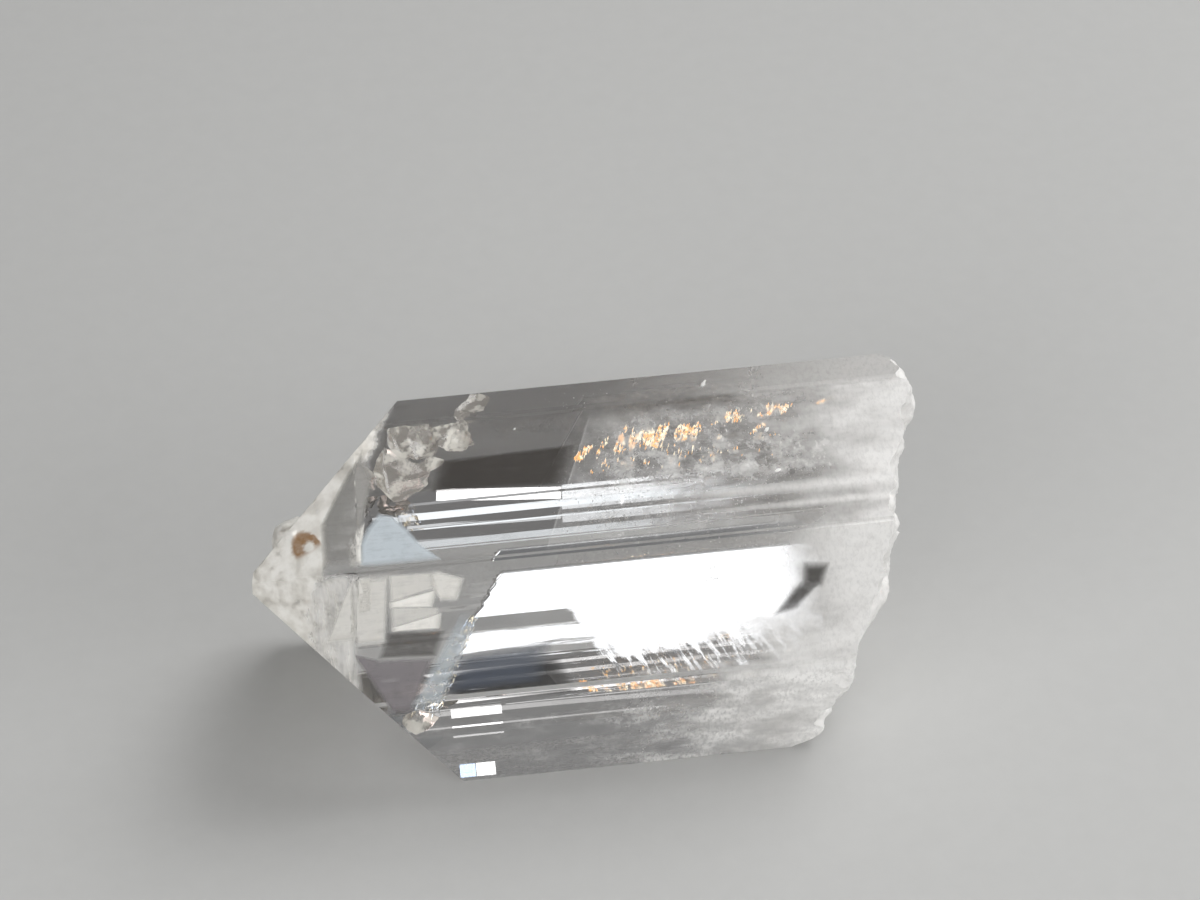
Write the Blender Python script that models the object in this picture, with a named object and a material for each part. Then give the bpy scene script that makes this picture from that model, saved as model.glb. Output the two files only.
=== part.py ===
"""A danburite crystal lying on one prism face: one clear solid, tip at -X, broken base at +X.

The prism runs along X (the crystal's c axis). Its faces are the two common prism forms
of danburite, and the tip is the chisel of two dome faces with small facets in front of it.
Sizes are in millimetres and become metres when the mesh is made.
"""
import math

import bmesh
import bpy
import numpy as np
from mathutils import Matrix, Vector, noise

MM = 0.001

# Orthorhombic axes of danburite, whose ratios fix every angle between its faces.
AXIS_A, AXIS_B, AXIS_C = 8.04, 8.77, 7.74
# How far the 110 and the 120 prism faces point away from the b axis.
STEEP_OFF_B = math.degrees(math.atan2(1 / AXIS_A, 1 / AXIS_B))
GENTLE_OFF_B = math.degrees(math.atan2(1 / AXIS_A, 2 / AXIS_B))
# How far the 101 dome faces point away from the c axis.
DOME_OFF_C = math.degrees(math.atan2(1 / AXIS_A, 1 / AXIS_C))
# The crystal lies on a 110 face, which puts its b axis at this angle from the level.
B_TILT = 90 - STEEP_OFF_B

# Distance of each prism face from the middle line, going round from the front edge.
FRONT_UPPER, TOP, BACK = 6.24, 7.57, 5.19
FRONT_LOWER, FRONT_FOOT, UNDERSIDE = 5.07, 5.73, 7.09
BACK_FOOT, BACK_LOWER = 7.52, 6.60

LENGTH = 30.0
# How much longer the prism starts out at the tip and at the base, before they are cut.
TIP_SPARE, BASE_SPARE = 2.0, 4.0
# Where the ideal chisel edge would be, ahead of the worn tip, and its place across.
CHISEL_AHEAD, CHISEL_ACROSS = 0.54, 1.15
# How far the chisel leans towards the upper side, in degrees.
CHISEL_LEAN = 1.6
# The small plane that blunts the tip: how far along it lies, and where it faces.
BLUNT_ALONG, BLUNT_FACING = 0.28, (-1, 0.12, -0.14)
# The two facets in front of the chisel: where they leave the front edge, a point of each on
# its prism face as (along, off the front edge), and how far behind the front edge they end.
FACET_FOOT = 4.6
UPPER_FACET_SIDE, LOWER_FACET_SIDE = (4.9, 5.3), (4.2, -2.8)
FACET_HEAD_INSET = 2.9

# Growth steps along each face: how far apart, and the most that one lies below the face.
STEP_PITCH, STEP_DEPTH = 0.95, 0.07
# Width of the alternating narrow faces that line the long edges of the prism.
EDGE_STEP = 0.16

# The broken base: (across, along) points of its outline from the lower to the upper side.
BREAK_LINE = (
    (-9.4, 23.4), (-8.6, 24.7), (-7.6, 25.4), (-6.1, 26.0), (-4.1, 26.6), (-2.9, 27.4), (-1.6, 28.1),
    (-0.1, 28.5), (1.7, 28.9), (3.3, 29.0), (4.7, 29.4), (5.7, 29.9), (6.9, 30.1), (8.3, 29.7),
)
# How fast the base falls back away from its middle, and the depth and pitch of its relief.
BREAK_LEAN, BREAK_RELIEF, BREAK_LEDGE = 0.16, 0.42, 0.75
BREAK_COLUMNS, BREAK_ROWS = 60, 60
# Half the width of the block that the broken base is cut with.
BREAK_REACH = 10.5
# The worn corner between the broken base and the top: a place on it, and where it faces.
WORN_CORNER, WORN_FACING = (29.1, 8.45), (0.5, 0.87)

# Shell-shaped chips: (along, across from the front edge, inset from the face, radius, bite).
CHIPS = {
    "foot_nick": (6.6, -7.2, 0.6, 1.0, 0.30),
    "base_corner": (29.6, 6.6, 0.7, 2.2, 0.70),
    "base_corner_low": (29.4, 4.6, 0.1, 1.2, 0.30),
    "base_front": (28.4, -2.6, 0.0, 1.8, 0.45),
    "base_low": (25.6, -7.6, 0.3, 1.6, 0.40),
}
# The battered shoulder: a patch of chips, from its lower left to its upper right.
SHOULDER_START, SHOULDER_END = (5.4, 4.5), (8.6, 7.1)
SHOULDER_ROWS, SHOULDER_COLUMNS = 3, 4
SHOULDER_RADIUS, SHOULDER_BITE = 1.9, 0.34
CHIP_ROUGHNESS = 0.16
# The small lump grown on the upper dome face beside the tip.
LUMP_PLACE = (2.0, 2.95, 1.7)
LUMP_SIZE = (1.1, 0.95, 2.3)

CRYSTAL_COLOUR = (0.86, 0.86, 0.84, 1.0)
CRYSTAL_ROUGHNESS = 0.05
CRYSTAL_IOR = 1.63


def across_dir(angle):
    """Unit normal in the YZ plane: 0 faces -Y, 90 faces up, 180 faces +Y."""
    turn = math.radians(angle)
    return np.array([-math.cos(turn), math.sin(turn)])


ACROSS = across_dir(B_TILT + 90)
FORWARD = across_dir(B_TILT)


def place(along, across, forward):
    """Point from its place along the crystal, across it (the a axis) and forward (the b axis)."""
    y, z = across * ACROSS + forward * FORWARD
    return Vector((along, y, z))


def prism_faces():
    """(angle, distance) of the prism faces in turn round the crystal."""
    return (
        (-90.0, UNDERSIDE),
        (B_TILT - STEEP_OFF_B, FRONT_FOOT),
        (B_TILT - GENTLE_OFF_B, FRONT_LOWER),
        (B_TILT + GENTLE_OFF_B, FRONT_UPPER),
        (B_TILT + STEEP_OFF_B, TOP),
        (B_TILT + 180 - STEEP_OFF_B, BACK),
        (B_TILT + 180 - GENTLE_OFF_B, BACK_LOWER),
        (B_TILT - 180 + GENTLE_OFF_B, BACK_FOOT),
    )


def corner(first, second):
    """Corner in the YZ plane where two prism faces meet."""
    normals = np.array([across_dir(first[0]), across_dir(second[0])])
    return np.linalg.solve(normals, [first[1], second[1]])


def stepped_edge(first, second):
    """Points of one long edge, where the two faces alternate in narrow steps."""
    deeper = corner((first[0], first[1] - EDGE_STEP), second)
    outer = corner((first[0], first[1]), (second[0], second[1] - EDGE_STEP))
    inner = corner((first[0], first[1] - EDGE_STEP), (second[0], second[1] - EDGE_STEP))
    return [outer, inner, deeper]


def growth_steps(start, end, normal, face_index):
    """Points between two corners, each pair a terrace that lies a little below the face."""
    points = []
    count = int(np.linalg.norm(end - start) / STEP_PITCH)
    for step in range(1, count):
        wobble = noise.noise(Vector((face_index * 3.7, step * 1.9, 0.5)))
        share = (step + 0.55 * wobble) / count
        depth = STEP_DEPTH * (0.5 + 0.5 * math.sin(2.4 * step + face_index))
        points.append(start + share * (end - start) - depth * normal)
    return points


def prism_outline():
    """The cross-section, going round with -Y to the left and Z up."""
    faces = prism_faces()
    outline = []
    for index, face in enumerate(faces):
        after = faces[(index + 1) % len(faces)]
        before = faces[index - 1]
        is_underside = index == 0
        meets_underside = is_underside or index == len(faces) - 1
        start, end = corner(before, face), corner(face, after)
        if not is_underside:
            outline += growth_steps(start, end, across_dir(face[0]), index)
        outline += [end] if meets_underside else stepped_edge(face, after)
    return outline


def prism():
    """The prism, longer than the crystal at both ends."""
    mesh = bmesh.new()
    outline = prism_outline()
    ends = [
        [mesh.verts.new((along, y, z)) for y, z in outline]
        for along in (-TIP_SPARE, LENGTH + BASE_SPARE)
    ]
    mesh.faces.new(ends[0])
    mesh.faces.new(reversed(ends[1]))
    for index in range(len(outline)):
        after = (index + 1) % len(outline)
        mesh.faces.new((ends[0][index], ends[1][index], ends[1][after], ends[0][after]))
    bmesh.ops.recalc_face_normals(mesh, faces=mesh.faces)
    return mesh


def slice_off(mesh, point, normal):
    """Cuts away what lies on the side the normal points to, and closes the cut."""
    everything = mesh.verts[:] + mesh.edges[:] + mesh.faces[:]
    cut = bmesh.ops.bisect_plane(
        mesh, geom=everything, dist=1e-6, plane_co=point, plane_no=normal, clear_outer=True
    )["geom_cut"]
    rim = [item for item in cut if isinstance(item, bmesh.types.BMEdge)]
    bmesh.ops.edgenet_fill(mesh, edges=rim)


def front_edge():
    """(across, forward) of the front edge of the prism."""
    point = corner(prism_faces()[2], prism_faces()[3])
    return float(point @ ACROSS), float(point @ FORWARD)


def on_front(along, off_edge):
    """Point of the front faces, off_edge away from the front edge."""
    edge_across, edge_forward = front_edge()
    inset = abs(off_edge) * math.tan(math.radians(GENTLE_OFF_B))
    return place(along, edge_across + off_edge, edge_forward - inset)


def slice_facet(mesh, side):
    """One of the two facets between the front edge and the tip."""
    head = place(-CHISEL_AHEAD, CHISEL_ACROSS, front_edge()[1] - FACET_HEAD_INSET)
    foot = on_front(FACET_FOOT, 0)
    reach = on_front(*side)
    normal = (foot - head).cross(reach - head).normalized()
    outward = place(-1, 0, 1) - place(0, 0, 0)
    slice_off(mesh, head, normal if normal.dot(outward) > 0 else -normal)


def cut_tip(mesh):
    """The chisel of two dome faces, the facets in front of it and the worn point."""
    edge = place(-CHISEL_AHEAD, CHISEL_ACROSS, 0)
    for side in (1, -1):
        turn = side * math.radians(DOME_OFF_C + side * CHISEL_LEAN)
        slice_off(mesh, edge, place(-math.cos(turn), math.sin(turn), 0))
    slice_facet(mesh, UPPER_FACET_SIDE)
    slice_facet(mesh, LOWER_FACET_SIDE)
    slice_off(mesh, place(BLUNT_ALONG, 0, 0), place(*BLUNT_FACING))


def wear_corner(mesh):
    """The slanting corner between the top and the broken base."""
    slice_off(mesh, place(*WORN_CORNER, 0), place(*WORN_FACING, 0))


def ledge(height):
    """Height rounded towards ledges, with a short slope between them."""
    whole, part = divmod(height / BREAK_LEDGE, 1)
    return BREAK_LEDGE * (whole + min(1, max(0, 3 * part - 1)))


def break_along(across, forward):
    """How far along the crystal the broken base lies, at a place on its cross-section."""
    outline = np.interp(across, *zip(*BREAK_LINE))
    where = Vector((across * 0.32, forward * 0.32, 4.1))
    broad = noise.fractal(where, 1.0, 2.1, 3)
    fine = noise.noise(where * 2.6)
    return outline - BREAK_LEAN * abs(forward - 2) - abs(ledge(broad)) - BREAK_RELIEF * fine


def link(mesh, name):
    """A new object in the scene from a bmesh in millimetres."""
    bmesh.ops.recalc_face_normals(mesh, faces=mesh.faces)
    mesh.transform(Matrix.Scale(MM, 4))
    data = bpy.data.meshes.new(name)
    mesh.to_mesh(data)
    mesh.free()
    thing = bpy.data.objects.new(name, data)
    bpy.context.scene.collection.objects.link(thing)
    return thing


def base_cutter():
    """A block whose near side is the broken surface of the base."""
    mesh = bmesh.new()
    grid = []
    for row in range(BREAK_ROWS + 1):
        across = BREAK_REACH * (2 * row / BREAK_ROWS - 1)
        line = []
        for column in range(BREAK_COLUMNS + 1):
            forward = BREAK_REACH * (2 * column / BREAK_COLUMNS - 1)
            line.append(mesh.verts.new(place(break_along(across, forward), across, forward)))
        grid.append(line)
    for low, high in zip(grid, grid[1:]):
        for index in range(BREAK_COLUMNS):
            mesh.faces.new((low[index], low[index + 1], high[index + 1], high[index]))
    rim = [edge for edge in mesh.edges if edge.is_boundary]
    far = bmesh.ops.extrude_edge_only(mesh, edges=rim)["geom"]
    ends = [item for item in far if isinstance(item, bmesh.types.BMVert)]
    for vert in ends:
        vert.co.x = LENGTH + 2 * BASE_SPARE
    bmesh.ops.contextual_create(
        mesh, geom=[item for item in far if isinstance(item, bmesh.types.BMEdge) and item.is_boundary]
    )
    return link(mesh, "base_cutter")


def rough_ball(name, centre, sizes, roughness):
    """A ball of the given half sizes along, across and forward, with an uneven surface."""
    mesh = bmesh.new()
    bmesh.ops.create_icosphere(mesh, subdivisions=3, radius=1.0)
    for vert in mesh.verts:
        swell = 1 + roughness * noise.fractal(vert.co * 1.7 + centre, 1.0, 2.0, 2)
        offset = [swell * part * size for part, size in zip(vert.co, sizes)]
        vert.co = centre + place(*offset)
    return link(mesh, name)


def chip_cutter(name, along, off_edge, inset, radius, bite):
    """A ball that bites into a front face, beside the place given on that face."""
    rim = on_front(along, off_edge)
    side = math.copysign(GENTLE_OFF_B, off_edge)
    outward = Vector((0, *across_dir(B_TILT + side)))
    centre = rim + outward * (radius - bite - inset)
    return rough_ball(name, centre, (radius,) * 3, CHIP_ROUGHNESS)


def shoulder_chips():
    """Cutters for the patch of overlapping chips on the shoulder behind the upper dome face."""
    cutters = []
    for row in range(SHOULDER_ROWS):
        for column in range(SHOULDER_COLUMNS):
            shares = ((column + 0.5 * (row % 2)) / SHOULDER_COLUMNS, row / (SHOULDER_ROWS - 1))
            along, off_edge = (
                start + share * (end - start)
                for start, end, share in zip(SHOULDER_START, SHOULDER_END, shares)
            )
            vary = noise.noise(Vector((2.3 * along, 1.7 * off_edge, 0.4)))
            lean = 0.8 * (off_edge - SHOULDER_START[1])
            name = f"shoulder_{row}_{column}"
            radius, bite = SHOULDER_RADIUS * (1 + 0.7 * vary), SHOULDER_BITE * (1 + 0.9 * vary)
            cutters.append(chip_cutter(name, along + lean, off_edge, 0.0, radius, bite))
    return cutters


def combine(crystal, helper, operation, solver="EXACT"):
    """Cuts the helper from the crystal, or joins it to the crystal."""
    boolean = crystal.modifiers.new(helper.name, "BOOLEAN")
    boolean.solver = solver
    boolean.operation = operation
    boolean.object = helper
    helper.hide_render = True
    helper.display_type = "WIRE"


def crystal_material():
    """Clear, colourless crystal with a polished surface."""
    material = bpy.data.materials.new("clear_danburite")
    material.use_nodes = True
    shader = material.node_tree.nodes["Principled BSDF"]
    shader.inputs["Base Color"].default_value = CRYSTAL_COLOUR
    shader.inputs["Roughness"].default_value = CRYSTAL_ROUGHNESS
    shader.inputs["Metallic"].default_value = 0.0
    shader.inputs["IOR"].default_value = CRYSTAL_IOR
    shader.inputs["Transmission Weight"].default_value = 1.0
    return material


def stand_on_origin(crystal, helpers):
    """Puts the middle of the crystal's underside at the origin, and its cutters with it."""
    bpy.context.view_layer.update()
    finished = crystal.evaluated_get(bpy.context.evaluated_depsgraph_get())
    corners = np.array([finished.matrix_world @ Vector(point) for point in finished.bound_box])
    low, high = corners.min(axis=0), corners.max(axis=0)
    shift = Vector((-(low[0] + high[0]) / 2, -(low[1] + high[1]) / 2, -low[2]))
    for thing in [crystal, *helpers]:
        thing.data.transform(Matrix.Translation(shift))


def main():
    for thing in list(bpy.data.objects):
        bpy.data.objects.remove(thing, do_unlink=True)
    mesh = prism()
    cut_tip(mesh)
    wear_corner(mesh)
    crystal = link(mesh, "danburite_crystal")
    crystal.data.materials.append(crystal_material())
    lump = rough_ball("tip_lump", place(*LUMP_PLACE), LUMP_SIZE, CHIP_ROUGHNESS)
    combine(crystal, lump, "UNION")
    base = base_cutter()
    combine(crystal, base, "DIFFERENCE")
    # The chips overlap each other in slivers, where the exact solver loses the solid.
    chips = [chip_cutter(name, *size) for name, size in CHIPS.items()] + shoulder_chips()
    for chip in chips:
        combine(crystal, chip, "DIFFERENCE", solver="MANIFOLD")
    stand_on_origin(crystal, [lump, base, *chips])


main()
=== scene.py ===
"""The looks of a clear danburite crystal that lies on one prism face.

The crystal's sizes are in millimetres in its own directions: along its length from the
tip, across it, and forward to the front edge. They become metres when a piece is dressed.
"""
from __future__ import annotations

import logging
import math
from dataclasses import dataclass, field
from enum import Enum
from functools import cached_property
from typing import Any, Callable, Iterable, Sequence

import bmesh
import bpy
import numpy as np
from mathutils import Matrix, Vector, noise

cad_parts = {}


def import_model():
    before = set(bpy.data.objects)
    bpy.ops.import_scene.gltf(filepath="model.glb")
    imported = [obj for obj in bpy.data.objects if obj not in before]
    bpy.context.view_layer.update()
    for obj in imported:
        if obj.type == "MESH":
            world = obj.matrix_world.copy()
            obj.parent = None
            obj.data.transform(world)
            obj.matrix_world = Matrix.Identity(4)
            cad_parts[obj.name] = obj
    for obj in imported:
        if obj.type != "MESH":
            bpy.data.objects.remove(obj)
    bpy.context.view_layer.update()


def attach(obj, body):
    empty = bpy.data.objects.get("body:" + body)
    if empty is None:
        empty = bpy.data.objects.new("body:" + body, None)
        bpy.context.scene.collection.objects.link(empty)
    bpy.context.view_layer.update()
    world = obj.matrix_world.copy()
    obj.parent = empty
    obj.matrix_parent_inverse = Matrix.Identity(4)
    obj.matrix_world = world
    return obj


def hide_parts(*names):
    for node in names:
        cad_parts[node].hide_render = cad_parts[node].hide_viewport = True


Pair = tuple[float, float]
Triple = tuple[float, float, float]
Colour = Triple

MM = 0.001
NODE = "danburite_crystal"
BODY = "root"

LOG = logging.getLogger("danburite")


# Directions and places in the crystal --------------------------------------------------


def across_dir(angle: float) -> np.ndarray:
    """Unit normal in the YZ plane.

    Args:
        angle: Degrees, where 0 faces -Y, 90 faces up and 180 faces +Y.

    Returns:
        The normal as (y, z).
    """
    turn = math.radians(angle)
    return np.array([-math.cos(turn), math.sin(turn)])


@dataclass(frozen=True)
class Lattice:
    """The axis ratios of danburite, which fix every angle between its faces."""

    a: float = 8.04
    b: float = 8.77
    c: float = 7.74

    @property
    def steep(self) -> float:
        """Degrees from the b axis to the normal of a 110 prism face."""
        return math.degrees(math.atan2(1 / self.a, 1 / self.b))

    @property
    def gentle(self) -> float:
        """Degrees from the b axis to the normal of a 120 prism face."""
        return math.degrees(math.atan2(1 / self.a, 2 / self.b))

    @property
    def dome(self) -> float:
        """Degrees from the c axis to the normal of a 101 dome face."""
        return math.degrees(math.atan2(1 / self.a, 1 / self.c))

    @property
    def tilt(self) -> float:
        """Degrees from the level to the b axis of a crystal that lies on a 110 face."""
        return 90 - self.steep


LATTICE = Lattice()
ACROSS = across_dir(LATTICE.tilt + 90)
FORWARD = across_dir(LATTICE.tilt)


def place(along: float, across: float, forward: float) -> Vector:
    """Point of the crystal.

    Args:
        along: Millimetres from the tip along the c axis.
        across: Millimetres along the a axis.
        forward: Millimetres along the b axis, towards the front edge.

    Returns:
        The point in millimetres, with Z up.
    """
    y, z = across * ACROSS + forward * FORWARD
    return Vector((along, y, z))


def heading(along: float, across: float, forward: float) -> Vector:
    """Unit vector with these parts along, across and forward."""
    return place(along, across, forward).normalized()


def speckle(*seeds: float) -> float:
    """A repeatable number from 0 to 1 for these seeds."""
    spread = sum(seed * step for seed, step in zip(seeds, (12.9898, 78.233, 37.719, 9.151)))
    return math.modf(abs(math.sin(spread)) * 43758.5453)[0]


def smooth(low: float, high: float, value: float) -> float:
    """Smooth step from 0 at low to 1 at high.

    Args:
        low: The value that gives 0.
        high: The value that gives 1.
        value: The value to step.

    Returns:
        The stepped value.
    """
    share = min(1.0, max(0.0, (value - low) / (high - low)))
    return share * share * (3 - 2 * share)


@dataclass(frozen=True)
class Swell:
    """Fractal noise that shapes a surface, from about -1 to 1.

    The factors are on the two numbers of its place, and seed picks one such noise.
    """

    factors: Pair
    seed: float
    fade: float = 0.8
    gap: float = 2.1
    octaves: int = 4

    def at(self, first: float, second: float) -> float:
        """The noise at this place."""
        spot = Vector((first * self.factors[0], second * self.factors[1], self.seed))
        return noise.fractal(spot, self.fade, self.gap, self.octaves)


# Shader maths --------------------------------------------------------------------------


class Wire:
    """An output socket of a material, with arithmetic that adds its nodes."""

    def __init__(self, book: NodeBook, socket: bpy.types.NodeSocket) -> None:
        """Wraps a socket that belongs to the material of this book."""
        self.book = book
        self.socket = socket

    def _math(self, operation: str, *values: Any) -> Wire:
        """One Math node on these values."""
        inputs = dict(enumerate(values))
        return self.book.add("ShaderNodeMath", {"operation": operation}, inputs)

    def __add__(self, other: Any) -> Wire:
        """self + other."""
        return self._math("ADD", self, other)

    __radd__ = __add__

    def __mul__(self, other: Any) -> Wire:
        """self * other."""
        return self._math("MULTIPLY", self, other)

    __rmul__ = __mul__

    def __sub__(self, other: Any) -> Wire:
        """self - other."""
        return self._math("SUBTRACT", self, other)

    def __rsub__(self, other: Any) -> Wire:
        """other - self."""
        return self._math("SUBTRACT", other, self)

    def __truediv__(self, other: Any) -> Wire:
        """self / other."""
        return self._math("DIVIDE", self, other)

    def __pow__(self, other: Any) -> Wire:
        """self ** other."""
        return self._math("POWER", self, other)

    def __abs__(self) -> Wire:
        """abs(self)."""
        return self._math("ABSOLUTE", self)

    def largest(self, other: Any) -> Wire:
        """The larger of self and other."""
        return self._math("MAXIMUM", self, other)

    def smallest(self, other: Any) -> Wire:
        """The smaller of self and other."""
        return self._math("MINIMUM", self, other)

    def step(self, low: float, high: float) -> Wire:
        """Smooth step from 0 at low to 1 at high, or the other way round if high is lower.

        Args:
            low: The value that gives 0.
            high: The value that gives 1.

        Returns:
            The stepped value.
        """
        flip = high < low
        ends = {"From Min": min(low, high), "From Max": max(low, high)}
        shares = {"To Min": float(flip), "To Max": float(not flip)}
        settings = {"interpolation_type": "SMOOTHSTEP"}
        return self.book.add("ShaderNodeMapRange", settings, {"Value": self, **ends, **shares})


# A place of the crystal in a material: (along, across, forward), in millimetres.
Spot = tuple[Wire, Wire, Wire]


class NodeBook:
    """The nodes of one new material."""

    def __init__(self, name: str) -> None:
        """Starts an empty material.

        Args:
            name: The material's name.
        """
        self.material = bpy.data.materials.new(name)
        self.material.use_nodes = True
        self.tree = self.material.node_tree
        self.tree.nodes.clear()

    def add(
        self,
        kind: str,
        settings: dict[str, Any] | None = None,
        inputs: dict[str | int, Any] | None = None,
        output: str | int = 0,
    ) -> Wire:
        """Adds one node.

        Args:
            kind: The node's type.
            settings: Its properties, or the stops of a colour ramp, which are set first.
            inputs: Values or wires of its sockets, by name or number.
            output: The socket that the result wraps.

        Returns:
            That output.
        """
        node = self.tree.nodes.new(kind)
        for name, value in (settings or {}).items():
            if name == "stops":
                self._set_stops(node, value)
            else:
                setattr(node, name, value)
        self._fill(node, inputs or {})
        return Wire(self, node.outputs[output]) if len(node.outputs) else Wire(self, None)

    def _fill(self, node: bpy.types.Node, inputs: dict[str | int, Any]) -> None:
        """Links or sets a node's sockets.

        Args:
            node: The node.
            inputs: Values or wires of its sockets, by name or number.
        """
        for name, value in inputs.items():
            if isinstance(value, Wire):
                self.tree.links.new(value.socket, node.inputs[name])
            else:
                node.inputs[name].default_value = value

    @staticmethod
    def _set_stops(node: bpy.types.Node, stops: Sequence[tuple[float, Sequence[float]]]) -> None:
        """Gives a colour ramp its stops.

        Args:
            node: The colour ramp.
            stops: (place, colour) of each stop.
        """
        elements = node.color_ramp.elements
        while len(elements) < len(stops):
            elements.new(0.5)
        for element, (where, colour) in zip(elements, stops):
            element.position = where
            element.color = (*colour, 1.0)

    def rest_place(self) -> Wire:
        """The point on the surface.

        Returns:
            Its place in millimetres.
        """
        point = self.add("ShaderNodeTexCoord", output="Object")
        scale = {0: point, "Scale": 1 / MM}
        return self.add("ShaderNodeVectorMath", {"operation": "SCALE"}, scale)

    def dot(self, vector: Wire, direction: Vector) -> Wire:
        """Dot product of a vector with a fixed direction."""
        inputs = {0: vector, 1: tuple(direction)}
        return self.add("ShaderNodeVectorMath", {"operation": "DOT_PRODUCT"}, inputs, "Value")

    def crystal_place(self) -> Spot:
        """The point on the surface as (along, across, forward), in millimetres.

        Returns:
            The three wires, measured from the crystal's own reference point.
        """
        point = self.rest_place()
        shift = SEAT.shift
        parts = []
        for direction in (heading(1, 0, 0), heading(0, 1, 0), heading(0, 0, 1)):
            parts.append(self.dot(point, direction) - shift.dot(direction))
        return tuple(parts)

    def vector(self, x: Any, y: Any, z: Any) -> Wire:
        """A vector from three values or wires."""
        return self.add("ShaderNodeCombineXYZ", None, {0: x, 1: y, 2: z})

    def noise(self, vector: Wire, scale: float, detail: float = 3.0, rough: float = 0.5) -> Wire:
        """Noise from 0 to 1, about scale bumps to the millimetre."""
        inputs = {"Vector": vector, "Scale": scale, "Detail": detail, "Roughness": rough}
        return self.add("ShaderNodeTexNoise", None, inputs, "Fac")

    def attribute(self, name: str) -> Wire:
        """A value stored on the mesh."""
        return self.add("ShaderNodeAttribute", {"attribute_name": name}, None, "Fac")

    def mix_colour(self, share: Any, first: Any, second: Any) -> Wire:
        """Colour between first and second.

        Args:
            share: 0 for the first colour and 1 for the second.
            first: A wire or a colour of three numbers.
            second: A wire or a colour of three numbers.

        Returns:
            The mixed colour.
        """
        ends = [c if isinstance(c, Wire) else (*c, 1.0) for c in (first, second)]
        inputs = {0: share, 6: ends[0], 7: ends[1]}
        return self.add("ShaderNodeMix", {"data_type": "RGBA"}, inputs, 2)

    def ramp(self, value: Wire, stops: Sequence[tuple[float, Sequence[float]]]) -> Wire:
        """Colour ramp with these (place, colour) stops."""
        return self.add("ShaderNodeValToRGB", {"stops": stops}, {0: value})

    def bump(self, height: Wire, depth: float, strength: float = 1.0) -> Wire:
        """Normal bent by a height from 0 to 1, where 1 is depth millimetres."""
        inputs = {"Height": height, "Distance": depth * MM, "Strength": strength}
        return self.add("ShaderNodeBump", None, inputs)

    def surface(self, **inputs: Any) -> Wire:
        """A Principled shader, with socket names in lower case and _ for spaces.

        Args:
            **inputs: Values or wires of its sockets.

        Returns:
            Its output.
        """
        if not isinstance(inputs["base_color"], Wire):
            inputs["base_color"] = (*inputs["base_color"], 1.0)
        node = self.tree.nodes.new("ShaderNodeBsdfPrincipled")
        names = {socket.name.replace(" ", "_").lower(): socket.name for socket in node.inputs}
        self._fill(node, {names[name]: value for name, value in inputs.items()})
        return Wire(self, node.outputs[0])

    def blend(self, share: Wire, first: Wire, second: Wire) -> Wire:
        """Mix of two shaders, where share is how much of the second shows."""
        return self.add("ShaderNodeMixShader", None, {0: share, 1: first, 2: second})

    def finish(self, surface: Wire, volume: Wire | None = None) -> bpy.types.Material:
        """Links the surface, and a volume if there is one, to the output.

        Args:
            surface: The shader of the surface.
            volume: The shader of the inside.

        Returns:
            The finished material.
        """
        inputs = {"Surface": surface}
        if volume:
            inputs["Volume"] = volume
        self.add("ShaderNodeOutputMaterial", None, inputs)
        return self.material


# Finishes ------------------------------------------------------------------------------


@dataclass(frozen=True)
class Rise:
    """A smooth rise from 0 where a value is start to most where it is end."""

    start: float
    end: float
    most: float = 1.0

    def of(self, value: Wire) -> Wire:
        """The rise for this value."""
        risen = value.step(self.start, self.end)
        return risen if self.most == 1 else risen * self.most


@dataclass(frozen=True)
class Pattern:
    """Noise from 0 to 1, even or stretched by factors along, across and forward.

    Where the forward factor is 0 the pattern runs straight through the crystal, and layer
    picks one such pattern. Slant adds some of across to along.
    """

    scale: float
    detail: float = 3.0
    rough: float = 0.5
    stretch: Triple = (1.0, 1.0, 1.0)
    layer: float = 0.0
    slant: float = 0.0

    def even(self, book: NodeBook, point: Wire) -> Wire:
        """The pattern at a point in millimetres, without its stretch."""
        return book.noise(point, self.scale, self.detail, self.rough)

    def on(self, book: NodeBook, spot: Spot) -> Wire:
        """The stretched pattern.

        Args:
            book: The material's nodes.
            spot: The place as (along, across, forward).

        Returns:
            The noise from 0 to 1.
        """
        parts: list[Any] = []
        for part, factor in zip(spot, self.stretch):
            if factor == 0:
                parts.append(self.layer)
            else:
                parts.append(part if factor == 1 else part * factor)
        if self.slant:
            parts[0] = parts[0] + spot[1] * self.slant
        return book.noise(book.vector(*parts), self.scale, self.detail, self.rough)


@dataclass(frozen=True)
class EtchedPatch:
    """The frosted cream patch around the tip, and the thin frost behind it."""

    # It ends at this line: (along where across is 0, slope).
    edge: Pair = (2.45, 0.50)
    blur: float = 0.30
    sway: float = 1.2
    swaying: Pattern = Pattern(1.3, 4.0, 0.6, (1, 1, 0))
    thin_end: Rise = Rise(4.4, 3.8)
    thin_side: Rise = Rise(1.3, 0.9)
    streaks: Pattern = Pattern(1.6, 3.0, 0.6, (2.2, 0.35, 0), layer=1.0)
    streak_gain: float = 1.1
    thin_least: float = 0.15

    def mask(self, book: NodeBook, spot: Spot) -> Wire:
        """How much of the frost covers each place.

        Args:
            book: The material's nodes.
            spot: The place as (along, across, forward).

        Returns:
            The cover from 0 to 1.
        """
        along, across, _ = spot
        start, slope = self.edge
        sway = self.swaying.on(book, spot) * self.sway - self.sway / 2
        edge = along - across.largest(0.0) * slope + sway
        patch = edge.step(start + self.blur, start - self.blur)
        streaks = self.streaks.on(book, spot) * self.streak_gain + self.thin_least
        return patch.largest(self.thin_end.of(along) * self.thin_side.of(across) * streaks)


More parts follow.
